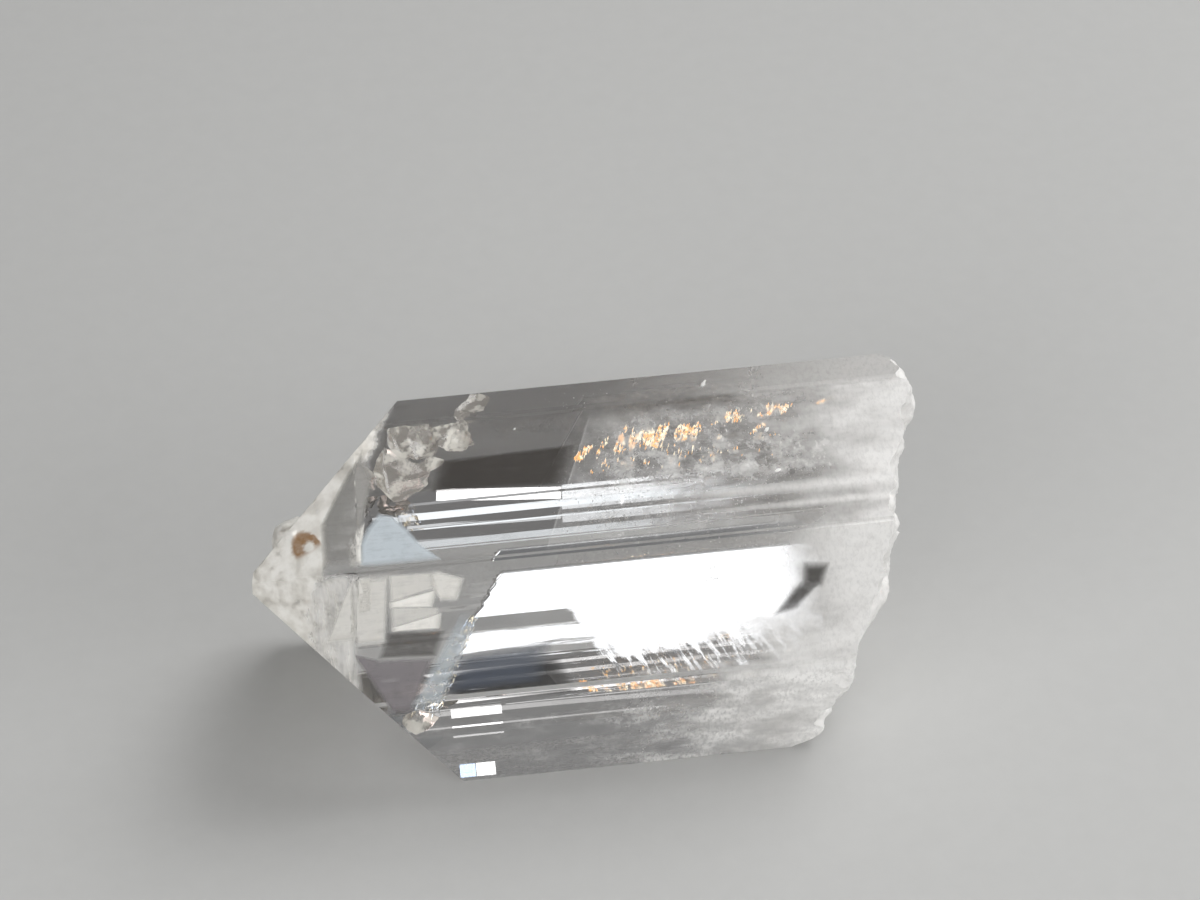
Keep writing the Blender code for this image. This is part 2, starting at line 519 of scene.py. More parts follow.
@dataclass(frozen=True)
class IronStain:
    """The arch of iron stain on the etched face."""

    # Its middle, along and across.
    middle: Pair = (2.50, 2.52)
    radius: float = 0.48
    # These are in radii.
    ring_at: float = 0.9
    ragged: float = 0.9
    widening: Rise = Rise(1.0, -1.0, 0.55)
    narrowest: float = 0.38
    soft_edge: Rise = Rise(0.0, 0.6)
    lean: float = 0.5
    open_foot: Rise = Rise(-0.85, -0.10)
    grain_gain: float = 0.5
    grain_least: float = 0.68

    def mask(self, spot: Spot, grain: Wire) -> Wire:
        """How much the stain covers each place.

        Args:
            spot: The place as (along, across, forward).
            grain: Noise that frays it.

        Returns:
            The cover from 0 to 1.
        """
        side, rise = ((part - at) / self.radius for part, at in zip(spot, self.middle))
        away = (side * side + rise * rise) ** 0.5 + (grain - 0.5) * self.ragged
        width = self.widening.of(side) + self.narrowest
        ring = self.soft_edge.of(1 - abs(away - self.ring_at) / width)
        arch = ring * self.open_foot.of(rise - side * self.lean)
        return arch * (grain * self.grain_gain + self.grain_least).smallest(1.0)


@dataclass(frozen=True)
class Opening:
    """A clearer window in the milk, which takes a share of it away."""

    across: Rise
    along: Rise
    share: float

    def left(self, along: Wire, across: Wire) -> Wire:
        """How much of the milk stays."""
        return 1 - self.across.of(across) * self.along.of(along) * self.share


@dataclass(frozen=True)
class BaseMilk:
    """The milk that thickens towards the base."""

    wisps: Pattern = Pattern(0.8, 3.0, 0.62, (0.35, 0.8, 0.8))
    streaks: Pattern = Pattern(4.2, 2.0, 0.7, (1.4, 0.7, 1))
    # How it rises along the lower faces, the upper front face and the top face, and how
    # far the wisps shift it.
    lower: tuple[Rise, float] = (Rise(15.5, 27.0, 0.86), 14.0)
    upper: tuple[Rise, float] = (Rise(20.0, 30.5, 0.80), 11.0)
    top: tuple[Rise, float] = (Rise(14.0, 30.0, 0.50), 4.0)
    upper_side: Rise = Rise(1.0, 1.4)
    top_side: Rise = Rise(7.3, 7.6)
    lower_window: Opening = Opening(Rise(-3.6, -1.6), Rise(26.5, 22.5), 0.75)
    upper_window: Opening = Opening(Rise(4.4, 3.5), Rise(27.5, 22.5), 0.45)
    # Bright rows under the upper face: (across, half width, most), and their rise.
    rows: tuple[Triple, ...] = ((3.05, 0.45, 0.50), (2.30, 0.25, 0.42))
    rows_rise: Rise = Rise(15.0, 23.0)
    # The clouds of the foot face.
    foot_side: Rise = Rise(-4.9, -5.5)
    foot_wisps: Rise = Rise(0.42, 0.66)
    foot_streaks: Rise = Rise(0.35, 0.6)
    foot_gain: float = 0.26
    foot_least: float = 0.05
    streak_gain: float = 0.6
    streak_least: float = 0.66

    def mask(self, book: NodeBook, spot: Spot) -> Wire:
        """How milky each place is.

        Args:
            book: The material's nodes.
            spot: The place as (along, across, forward).

        Returns:
            The milk from 0 to about 1.
        """
        along, across, _ = spot
        wisps, streaks = self.wisps.on(book, spot), self.streaks.on(book, spot)
        upper, top = self.upper_side.of(across), self.top_side.of(across)
        lower_milk, upper_milk, top_milk = (
            rise.of(along + (wisps - 0.5) * shift)
            for rise, shift in (self.lower, self.upper, self.top)
        )
        lower_milk = lower_milk * self.lower_window.left(along, across)
        upper_milk = upper_milk * self.upper_window.left(along, across)
        thick = lower_milk * (1 - upper) + upper_milk * (upper * (1 - top))
        bright = sum(
            (abs(across - row).step(reach, 0.0) * most for row, reach, most in self.rows), 0
        )
        rows = bright * self.rows_rise.of(along) * (1 - thick)
        clouds = self.foot_wisps.of(wisps) * self.foot_streaks.of(streaks)
        foot = self.foot_side.of(across) * (clouds * self.foot_gain + self.foot_least)
        mottle = (streaks * self.streak_gain + self.streak_least).smallest(1.0)
        return (thick + rows + top_milk * top) * mottle + foot


@dataclass(frozen=True)
class UpperVeil:
    """The mottled veil under the upper front face, with its straight end."""

    # It ends at this line: (along where across is 0, slope).
    edge: Pair = (12.15, 0.46)
    # How it starts past that line, and ends at its lower and upper side.
    start: Rise = Rise(0.0, 0.12)
    low_side: Rise = Rise(1.3, 1.6)
    high_side: Rise = Rise(7.4, 6.6)
    # The pale rim: how far past the line its middle is, half width and strength.
    rim: Triple = (0.06, 0.09, 0.24)
    clouds: Pattern = Pattern(1.1, 4.0, 0.72, (0.8, 1, 0), layer=2.0)
    cloud_edges: Rise = Rise(0.32, 0.74)
    cloud_cover: float = 0.34
    thicker: Rise = Rise(5.8, 4.6, 0.18)
    thinner: Rise = Rise(4.2, 3.3, 0.36)
    flecks: Pattern = Pattern(3.2, 1.0, 0.7, (1.6, 1, 0), layer=5.0)
    fleck_edges: Rise = Rise(0.58, 0.72, 0.16)
    filling: Rise = Rise(-1.0, 3.0)
    least: float = 0.07

    def mask(self, book: NodeBook, spot: Spot) -> Wire:
        """How much the veil covers each place.

        Args:
            book: The material's nodes.
            spot: The place as (along, across, forward).

        Returns:
            The cover from 0 to 1.
        """
        along, across, _ = spot
        start, slope = self.edge
        past = along - across * slope - start
        inside = self.start.of(past) * self.low_side.of(across) * self.high_side.of(across)
        middle, half_width, strength = self.rim
        rim = (1 - abs(past - middle) / half_width).step(0.0, 1.0) * strength
        cover = self.thicker.of(across) - self.thinner.of(across) + self.cloud_cover
        clouds = self.cloud_edges.of(self.clouds.on(book, spot)) * cover
        mottle = clouds + self.fleck_edges.of(self.flecks.on(book, spot))
        return inside * (mottle * self.filling.of(past) + self.least) + inside * rim


@dataclass(frozen=True)
class BrokenFrost:
    """The frost on broken faces: patchy in the chips and even on the base."""

    # The chips end in a pale rim along this line: (along where across is 0, slope).
    rim_line: Pair = (5.25, 0.58)
    rim_sway: float = 1.6
    rim_width: Rise = Rise(0.42, 0.08)
    rim_foot: Rise = Rise(4.0, 4.6)
    rim_head: Rise = Rise(7.4, 7.0)
    rim_strength: float = 0.85
    chip_patches: Rise = Rise(0.46, 0.60, 0.52)
    chip_least: float = 0.26
    base_patches: Rise = Rise(0.15, 0.60, 0.35)
    base_least: float = 0.55

    def mask(self, spot: Spot, clots: Wire, grain: Wire, far: Wire) -> Wire:
        """How frosted a broken face is at each place.

        Args:
            spot: The place as (along, across, forward).
            clots: Coarse noise.
            grain: Finer noise.
            far: 0 at the chips and 1 at the base.

        Returns:
            The frost from 0 to 1.
        """
        along, across, _ = spot
        start, slope = self.rim_line
        beside = abs(along - across * slope - start + (clots - 0.5) * self.rim_sway)
        rim = self.rim_width.of(beside) * self.rim_foot.of(across) * self.rim_head.of(across)
        chips = (self.chip_patches.of(clots) + self.chip_least).largest(rim * self.rim_strength)
        base = self.base_patches.of(grain) + self.base_least
        return chips * (1 - far) + base * far


@dataclass(frozen=True)
class CrystalFinish:
    """Clear crystal: polished growth faces, an etched tip, an iron stain and a frosted break."""

    name: str = "clear_danburite"
    ior: float = 1.63
    tint: Colour = (1.0, 1.0, 1.0)
    body_colour: Colour = (0.83, 0.785, 0.765)
    body_density: float = 13.0
    frost_colour: Colour = (0.95, 0.94, 0.92)
    etched_colour: Colour = (0.95, 0.93, 0.88)
    etched_shade: Colour = (0.74, 0.71, 0.64)
    shade_edges: Rise = Rise(0.66, 0.34)
    chip_colour: Colour = (0.70, 0.68, 0.62)
    stain_colour: Colour = (0.30, 0.155, 0.055)
    broken_roughness: float = 0.2
    broken_patches: Rise = Rise(0.2, 0.8)
    etched_roughness: float = 0.34
    milk_roughness: float = 0.5
    chip_relief: float = 0.35
    relief_depth: float = 0.02
    grain: Pattern = Pattern(2.2, 3.0, 0.62)
    fine: Pattern = Pattern(11.0, 2.0, 0.6)
    clots: Pattern = Pattern(1.1, 3.0, 0.66)
    cream_clots: Rise = Rise(0.22, 0.58, 0.42)
    cream_grain: Rise = Rise(0.0, 0.5, 0.52)
    # Along the crystal, between the chips and the base, and forward, on the front side.
    base_side: Rise = Rise(11.0, 20.0)
    front_side: Rise = Rise(0.0, 1.0)
    patch: EtchedPatch = EtchedPatch()
    stain: IronStain = IronStain()
    milk: BaseMilk = BaseMilk()
    veil: UpperVeil = UpperVeil()
    frost: BrokenFrost = BrokenFrost()

    def material(self) -> bpy.types.Material:
        """Builds the material.

        Returns:
            Clear crystal, mixed with a milky surface where it is frosted, etched or stained.
        """
        book = NodeBook(self.name)
        point, spot = book.rest_place(), book.crystal_place()
        along, _, forward = spot
        broken, pitted = book.attribute("broken"), book.attribute("etched")
        grain, fine, clots = (
            pattern.even(book, point) for pattern in (self.grain, self.fine, self.clots)
        )
        etched = pitted.largest(self.patch.mask(book, spot)) * (1 - broken)
        stain = self.stain.mask(spot, grain) * etched * self.front_side.of(forward)
        cream = etched * (self.cream_clots.of(clots) + self.cream_grain.of(grain))
        milk = self.milk.mask(book, spot).largest(self.veil.mask(book, spot))
        far = self.base_side.of(along)
        frost = broken * self.frost.mask(spot, clots, grain, far)
        frost = frost.largest(cream).largest(milk).largest(stain)
        rough = broken * self.broken_roughness * self.broken_patches.of(fine)
        rough = rough.largest(etched * self.etched_roughness)
        normal = book.bump(fine * (broken * self.chip_relief + pitted), self.relief_depth)
        clear = book.surface(
            base_color=self.tint, roughness=rough, ior=self.ior, transmission_weight=1.0,
            normal=normal,
        )
        dull = book.mix_colour(self.shade_edges.of(clots), self.etched_colour, self.etched_shade)
        colour = book.mix_colour(etched, self.frost_colour, dull)
        colour = book.mix_colour(broken * (1 - far), colour, self.chip_colour)
        colour = book.mix_colour(stain, colour, self.stain_colour)
        milky = book.surface(base_color=colour, roughness=self.milk_roughness, normal=normal)
        absorb = book.add(
            "ShaderNodeVolumeAbsorption", None,
            {"Color": (*self.body_colour, 1.0), "Density": self.body_density},
        )
        return book.finish(book.blend(frost, clear, milky), absorb)


@dataclass(frozen=True)
class CrackFinish:
    """The mirror of a thin air gap, patchy and finely lined."""

    name: str = "crack_mirror"
    colour: Colour = (0.97, 0.98, 1.0)
    roughness: float = 0.06
    cover: float = 0.96
    patches: Pattern = Pattern(0.6, 6.0, 0.66, (0.35, 0.9, 0))
    spikes: Pattern = Pattern(2.2, 4.0, 0.6, (1.5, 0.35, 0), slant=0.8)
    streaks: Pattern = Pattern(1.0, 4.0, 0.7, (0.12, 3.2, 0), layer=4.0)
    # It is streaky before a ragged slanting line along the crystal, and whole past it.
    split_slope: float = 0.45
    split_sway: float = 1.6
    whole_start: Rise = Rise(13.3, 13.7)
    # Across the crystal, in the whole part: its ragged lower side, and the fringe below.
    lower_sway: float = 3.4
    lower_spikes: float = 2.2
    lower_side: Rise = Rise(-3.6, -2.5)
    always_whole: Rise = Rise(-2.0, -1.7)
    fringe_side: Rise = Rise(-5.8, -2.5)
    fringe_spikes: Rise = Rise(0.50, 0.62)
    fringe_cover: float = 0.8
    # Across the crystal, in the streaky part: a full band and two streaky ones below it.
    band: Rise = Rise(-1.00, -0.90)
    middle_head: Rise = Rise(-1.60, -1.75)
    middle_foot: Rise = Rise(-2.75, -2.55)
    middle_streaks: Rise = Rise(0.36, 0.50)
    middle_cover: float = 0.85
    lower_head: Rise = Rise(-2.6, -2.9)
    lower_streaks: Rise = Rise(0.56, 0.66)
    lower_cover: float = 0.75
    # Along the crystal, where it ends, and at its rim.
    end_sway: float = 6.0
    far_end: Rise = Rise(25.5, 22.5)
    rim: Rise = Rise(0.0, 0.35)
    ripple_depth: float = 0.012
    ripple_strength: float = 0.5

    def cover_mask(self, book: NodeBook, spot: Spot, patches: Wire, spikes: Wire) -> Wire:
        """How much of the mirror is there at each place.

        Args:
            book: The material's nodes.
            spot: The place as (along, across, forward).
            patches: Coarse noise that frays it.
            spikes: Slanting noise that splits its lower side.

        Returns:
            The cover from 0 to 1.
        """
        along, across, _ = spot
        streaks = self.streaks.on(book, spot)
        split = along + across * self.split_slope + (patches - 0.5) * self.split_sway
        whole = self.whole_start.of(split)
        sunk = across + (patches - 0.5) * self.lower_sway + (spikes - 0.5) * self.lower_spikes
        solid = self.lower_side.of(sunk).largest(self.always_whole.of(across))
        fringe = self.fringe_side.of(sunk) * self.fringe_spikes.of(spikes)
        middle = self.middle_head.of(across) * self.middle_foot.of(across)
        middle = middle * self.middle_streaks.of(streaks)
        lower = self.lower_head.of(across) * self.lower_streaks.of(streaks)
        streaky = self.band.of(across).largest(middle * self.middle_cover)
        streaky = streaky.largest(lower * self.lower_cover)
        body = solid.largest(fringe * self.fringe_cover) * whole + streaky * (1 - whole)
        far_end = self.far_end.of(along + (patches - 0.5) * self.end_sway)
        return body * self.rim.of(book.attribute("inset")) * far_end * self.cover

    def material(self) -> bpy.types.Material:
        """Builds the material.

        Returns:
            A metal mirror with holes.
        """
        book = NodeBook(self.name)
        spot = book.crystal_place()
        patches, spikes = self.patches.on(book, spot), self.spikes.on(book, spot)
        surface = book.surface(
            base_color=self.colour, metallic=1.0, roughness=self.roughness,
            alpha=self.cover_mask(book, spot, patches, spikes),
            normal=book.bump(spikes, self.ripple_depth, self.ripple_strength),
        )
        return book.finish(surface)


@dataclass(frozen=True)
class SparkleFinish:
    """Tiny mirrors on a healed crack, gold to white, with a painted glow that stands in for their
    glints.
    """

    name: str = "gold_sparkle"
    gold: Colour = (1.0, 0.52, 0.17)
    pale: Colour = (1.0, 0.90, 0.70)
    spread: Pattern = Pattern(4.0, 2.0)
    pale_edges: Rise = Rise(0.40, 0.58)
    roughness: float = 0.14
    # Painted glow: light given off by the flakes themselves, standing in for their glints.
    glow: float = 0.85

    def material(self) -> bpy.types.Material:
        """Builds the material.

        Returns:
            A metal with a painted glow, light of its own that stands in for its glints.
        """
        book = NodeBook(self.name)
        share = self.pale_edges.of(self.spread.even(book, book.rest_place()))
        colour = book.mix_colour(share, self.gold, self.pale)
        surface = book.surface(
            base_color=colour, metallic=1.0, roughness=self.roughness,
            emission_color=colour, emission_strength=self.glow,
        )
        return book.finish(surface)


@dataclass(frozen=True)
class VeilFinish:
    """White specks of a healed crack."""

    name: str = "milky_veil"
    light: Colour = (0.96, 0.955, 0.93)
    dark: Colour = (0.74, 0.73, 0.71)
    tone: Pattern = Pattern(0.8, 3.0)
    light_edges: Rise = Rise(0.35, 0.65)
    roughness: float = 0.4

    def material(self) -> bpy.types.Material:
        """Builds the material.

        Returns:
            A dull white that varies a little.
        """
        book = NodeBook(self.name)
        share = self.light_edges.of(self.tone.even(book, book.rest_place()))
        colour = book.mix_colour(share, self.dark, self.light)
        return book.finish(book.surface(base_color=colour, roughness=self.roughness))


@dataclass(frozen=True)
class FloorFinish:
    """Plain pale floor."""

    name: str = "pale_floor"
    colour: Colour = (0.55, 0.55, 0.54)
    grain: Pattern = Pattern(0.9, 4.0, 0.6)
    darkest: float = 0.94
    roughness: float = 0.85

    def material(self) -> bpy.types.Material:
        """Builds the material.

        Returns:
            A matt floor with a faint grain.
        """
        book = NodeBook(self.name)
        darker = tuple(self.darkest * part for part in self.colour)
        grain = self.grain.even(book, book.rest_place())
        colour = book.mix_colour(grain, darker, self.colour)
        return book.finish(book.surface(base_color=colour, roughness=self.roughness))


# Meshes --------------------------------------------------------------------------------


class Surface(Enum):
    """What a face of the crystal is, stored as its material number while it is cut."""

    GROWN = 0
    BROKEN = 1
    ETCHED = 2


def show(name: str, data: bpy.types.ID) -> bpy.types.Object:
    """Makes an object and puts it in the scene.

    Args:
        name: The object's name.
        data: Its mesh, light or camera.

    Returns:
        The object.
    """
    thing = bpy.data.objects.new(name, data)
    bpy.context.scene.collection.objects.link(thing)
    return thing


def link(mesh: bmesh.types.BMesh, name: str) -> bpy.types.Object:
    """A new object in the scene.

    Args:
        mesh: The shape, which is used up.
        name: The object's name.

    Returns:
        The object.
    """
    data = bpy.data.meshes.new(name)
    mesh.to_mesh(data)
    mesh.free()
    return show(name, data)


def mark(mesh: bmesh.types.BMesh, surface: Surface) -> None:
    """Marks every face of a mesh as this kind of surface."""
    for face in mesh.faces:
        face.material_index = surface.value


@dataclass(frozen=True)
class Chip:
    """A shell-shaped chip on a front face, cut by a rough ball."""

    along: float
    off_edge: float
    inset: float
    radius: float
    bite: float
    relief: float = 0.30


@dataclass
class Prism:
    """The prism with its fine growth steps, longer than the crystal at both ends."""

    front_upper: float = 6.24
    top: float = 7.57
    back: float = 5.19
    front_lower: float = 5.07
    front_foot: float = 5.73
    underside: float = 7.09
    back_foot: float = 7.52
    back_lower: float = 6.60
    length: float = 30.0
    tip_spare: float = 2.0
    base_spare: float = 4.0
    # How wide the steps are along each long edge, in turn round the crystal.
    edge_steps: tuple[float, ...] = (0.05, 0.12, 0.11, 0.06, 0.06, 0.06, 0.06, 0.05)
    terraced: tuple[int, ...] = (2, 3)
    terrace_width: float = 1.1
    # The narrowest terrace and the spread above it, in terrace widths, and their bias.
    terrace_spread: Triple = (0.35, 1.5, 1.6)
    terrace_depth: float = 0.0028
    # The first terrace starts this far in, and the last starts and ends this far short.
    terrace_margins: Triple = (0.35, 0.5, 0.25)
    riser: float = 0.12
    # A terrace deepens by a share of the depth somewhere along it: nearest place, reach.
    drift_place: Pair = (3.0, 24.0)
    drift_share: float = 0.45
    drift_half: float = 0.4
    # How much the risers sway, as a share of a face that is so wide.
    sway: float = 0.05
    sway_width: float = 12
    rings: int = 56

    def faces(self) -> tuple[Pair, ...]:
        """The faces in turn round the crystal.

        Returns:
            (angle, distance) of each.
        """
        tilt, steep, gentle = LATTICE.tilt, LATTICE.steep, LATTICE.gentle
        return (
            (-90.0, self.underside),
            (tilt - steep, self.front_foot),
            (tilt - gentle, self.front_lower),
            (tilt + gentle, self.front_upper),
            (tilt + steep, self.top),
            (tilt + 180 - steep, self.back),
            (tilt + 180 - gentle, self.back_lower),
            (tilt - 180 + gentle, self.back_foot),
        )

    @staticmethod
    def corner(first: Pair, second: Pair) -> np.ndarray:
        """Corner in the YZ plane where two prism faces meet."""
        normals = np.array([across_dir(first[0]), across_dir(second[0])])
        return np.linalg.solve(normals, [first[1], second[1]])

    def front_edge(self) -> Pair:
        """(across, forward) of the front edge."""
        point = self.corner(self.faces()[2], self.faces()[3])
        return float(point @ ACROSS), float(point @ FORWARD)

    def on_front(self, along: float, off_edge: float) -> Vector:
        """Point of the front faces.

        Args:
            along: Millimetres along the crystal.
            off_edge: Millimetres across from the front edge.

        Returns:
            The point in millimetres.
        """
        edge_across, edge_forward = self.front_edge()
        inset = abs(off_edge) * math.tan(math.radians(LATTICE.gentle))
        return place(along, edge_across + off_edge, edge_forward - inset)

    def edge_points(self, first: Pair, second: Pair, step: float) -> list[np.ndarray]:
        """Points of one long edge, where the two faces alternate in steps.

        Args:
            first: (angle, distance) of one face.
            second: (angle, distance) of the other.
            step: How wide the steps are.

        Returns:
            The points in the YZ plane.
        """
        deeper = (first[0], first[1] - step)
        nearer = (second[0], second[1] - step)
        pairs = ((first, nearer), (deeper, nearer), (deeper, second))
        return [self.corner(*pair) for pair in pairs]

    def terraces(self, start: np.ndarray, end: np.ndarray, index: int) -> list[Pair]:
        """The growth terraces of one face.

        Args:
            start: One corner of the face.
            end: The other corner.
            index: The number of the face.

        Returns:
            (share of the width, depth) of each terrace's two sides.
        """
        width = float(np.linalg.norm(end - start))
        least, spread, bias = self.terrace_spread
        first, last_start, last_end = self.terrace_margins
        sides, at, number = [], first, 0
        while at < width - last_start:
            step = self.terrace_width * (least + spread * speckle(index, number, 1) ** bias)
            depth = self.terrace_depth * speckle(index, number, 2)
            last = min(at + step, width - last_end)
            sides += [(at / width, depth), ((last - self.riser) / width, depth)]
            at, number = last, number + 1
        return sides

    def risers(
        self, along: float, start: np.ndarray, end: np.ndarray, index: int
    ) -> Iterable[Vector]:
        """The points of one face's growth terraces in one cross-section.

        Args:
            along: Where the cross-section is.
            start: One corner of the face.
            end: The other corner.
            index: The number of the face.

        Yields:
            The points in turn.
        """
        normal = across_dir(self.faces()[index][0])
        nearest, reach = self.drift_place
        for number, (share, depth) in enumerate(self.terraces(start, end, index)):
            past = along - (nearest + reach * speckle(index, number // 2, 5))
            deepened = smooth(-self.drift_half, self.drift_half, past)
            drift = self.drift_share * self.terrace_depth * deepened
            where = Vector((along * 0.12, index * 7.1, number // 2 * 3.3))
            moved = share + self.sway * noise.noise(where) / self.sway_width
            yield Vector((along, *(start + moved * (end - start) - (depth + drift) * normal)))

    def ring(self, along: float) -> list[Vector]:
        """The points of one cross-section, with its growth steps at this place.

        Args:
            along: Where it is.

        Returns:
            The points in turn round the crystal.
        """
        faces = self.faces()
        points = []
        for index, face in enumerate(faces):
            after = faces[(index + 1) % len(faces)]
            start, end = self.corner(faces[index - 1], face), self.corner(face, after)
            if index in self.terraced:
                points += self.risers(along, start, end, index)
            meets_underside = index in (0, len(faces) - 1)
            ends = [end]
            if not meets_underside:
                ends = self.edge_points(face, after, self.edge_steps[index])
            points += [Vector((along, *spot)) for spot in ends]
        return points

    def mesh(self) -> bmesh.types.BMesh:
        """Makes the prism.

        Returns:
            The closed mesh.
        """
        mesh = bmesh.new()
        first, last = -self.tip_spare, self.length + self.base_spare
        rings = [
            [mesh.verts.new(point) for point in self.ring(along)]
            for along in np.linspace(first, last, self.rings)
        ]
        mesh.faces.new(rings[0])
        mesh.faces.new(reversed(rings[-1]))
        for near, far in zip(rings, rings[1:]):
            for index in range(len(near)):
                after = (index + 1) % len(near)
                mesh.faces.new((near[index], far[index], far[after], near[after]))
        bmesh.ops.recalc_face_normals(mesh, faces=mesh.faces)
        return mesh


@dataclass
class Tip:
    """The chisel of two dome faces, the facets in front of it and the worn point."""

    chisel_ahead: float = 0.54
    chisel_across: float = 1.15
    chisel_lean: float = 1.6
    blunt_along: float = 0.28
    blunt_facing: Triple = (-1, 0.12, -0.14)
    facet_foot: float = 4.6
    upper_side: Pair = (4.9, 5.3)
    lower_side: Pair = (4.2, -2.8)
    head_inset: float = 2.9
    # The pits of the upper dome face: a broad swell, and holes above a threshold.
    etch_depth: float = 0.05
    etch_swell: Swell = Swell((0.9, 0.9), 3.1, 0.9)
    broad_share: float = 0.5
    hole_size: float = 2.6
    hole_seed: float = 8.0
    hole_threshold: float = 0.1
    hole_share: float = 1.6
    # The block that cuts them: how far behind the tip, half sizes, cells and thickness.
    etch_centre: float = 6.5
    etch_reach: Pair = (8.5, 11.0)
    etch_cells: tuple[int, int] = (170, 220)
    etch_thickness: float = 12.0

    @staticmethod
    def slice_off(mesh: bmesh.types.BMesh, point: Vector, normal: Vector) -> None:
        """Cuts away one side of a plane, and closes the cut.

        Args:
            mesh: What is cut.
            point: A point of the plane.
            normal: The plane's normal, which points to what goes.
        """
        everything = mesh.verts[:] + mesh.edges[:] + mesh.faces[:]
        cut = bmesh.ops.bisect_plane(
            mesh, geom=everything, dist=1e-6, plane_co=point, plane_no=normal, clear_outer=True
        )["geom_cut"]
        rim = [item for item in cut if isinstance(item, bmesh.types.BMEdge)]
        bmesh.ops.edgenet_fill(mesh, edges=rim)

    def dome(self, side: int) -> tuple[Vector, Vector]:
        """One of the two dome faces.

        Args:
            side: 1 for the upper face and -1 for the lower.

        Returns:
            (point, normal) of its plane.
        """
        turn = side * math.radians(LATTICE.dome + side * self.chisel_lean)
        edge = place(-self.chisel_ahead, self.chisel_across, 0)
        return edge, place(-math.cos(turn), math.sin(turn), 0)

    def facet(self, prism: Prism, side: Pair) -> tuple[Vector, Vector]:
        """A facet between the front edge and the tip.

        Args:
            prism: The prism that it cuts.
            side: (along, off the edge) of its corner on the front face.

        Returns:
            (point, normal) of its plane.
        """
        front = prism.front_edge()[1]
        head = place(-self.chisel_ahead, self.chisel_across, front - self.head_inset)
        foot, reach = prism.on_front(self.facet_foot, 0), prism.on_front(*side)
        normal = (foot - head).cross(reach - head).normalized()
        return head, normal if normal.dot(heading(-1, 0, 1)) > 0 else -normal

    def etched_cutter(self) -> bpy.types.Object:
        """Makes the block that cuts the upper dome face, which is pitted.

        Returns:
            The block.
        """
        edge, normal = self.dome(1)
        side = Vector((0, *FORWARD)).cross(normal).normalized()
        side = side if side.x > 0 else -side
        return ReliefBlock(
            name="dome_cutter", centre=edge + self.etch_centre * side, side_u=side,
            side_v=heading(0, 0, 1), outward=normal, reach=self.etch_reach,
            cells=self.etch_cells, thickness=self.etch_thickness, surface=Surface.ETCHED,
            height=self.pits,
        ).build()

    def pits(self, u: float, v: float) -> float:
        """Relief of the etch pits.

        Args:
            u: Millimetres along the dome face.
            v: Millimetres across it.

        Returns:
            The height, mostly below zero.
        """
        broad = self.etch_swell.at(u, v)
        spot = Vector((u * self.hole_size, v * self.hole_size, self.hole_seed))
        hole = max(0.0, noise.noise(spot) - self.hole_threshold)
        share = self.broad_share + self.broad_share * broad + self.hole_share * hole
        return -self.etch_depth * share

    def cut(self, mesh: bmesh.types.BMesh, prism: Prism) -> None:
        """Cuts the tip into a prism.

        Args:
            mesh: The prism's mesh.
            prism: The prism.
        """
        for point, normal in (
            self.dome(-1),
            self.facet(prism, self.upper_side),
            self.facet(prism, self.lower_side),
            (place(self.blunt_along, 0, 0), place(*self.blunt_facing)),
        ):
            self.slice_off(mesh, point, normal)


@dataclass
class ReliefBlock:
    """A block whose near side is a rough surface, used to cut one."""

    name: str
    centre: Vector
    side_u: Vector
    side_v: Vector
    outward: Vector
    reach: Pair
    cells: tuple[int, int]
    thickness: float
    surface: Surface
    height: Callable[[float, float], float]

    def build(self) -> bpy.types.Object:
        """Makes the cutter.

        Returns:
            The block as an object.
        """
        mesh = bmesh.new()
        columns, rows = self.cells
        grid = []
        for row in range(rows + 1):
            v = self.reach[1] * (2 * row / rows - 1)
            line = []
            for column in range(columns + 1):
                u = self.reach[0] * (2 * column / columns - 1)
                spot = self.centre + u * self.side_u + v * self.side_v
                line.append(mesh.verts.new(spot + self.height(u, v) * self.outward))
            grid.append(line)
        for low, high in zip(grid, grid[1:]):
            for index in range(columns):
                mesh.faces.new((low[index], low[index + 1], high[index + 1], high[index]))
        rim = [edge for edge in mesh.edges if edge.is_boundary]
        far = bmesh.ops.extrude_edge_only(mesh, edges=rim)["geom"]
        for vert in far:
            if isinstance(vert, bmesh.types.BMVert):
                lift = self.thickness - (vert.co - self.centre).dot(self.outward)
                vert.co += lift * self.outward
        edges = [item for item in far if isinstance(item, bmesh.types.BMEdge) and item.is_boundary]
        bmesh.ops.contextual_create(mesh, geom=edges)
        bmesh.ops.recalc_face_normals(mesh, faces=mesh.faces)
        mark(mesh, self.surface)
        return link(mesh, self.name)


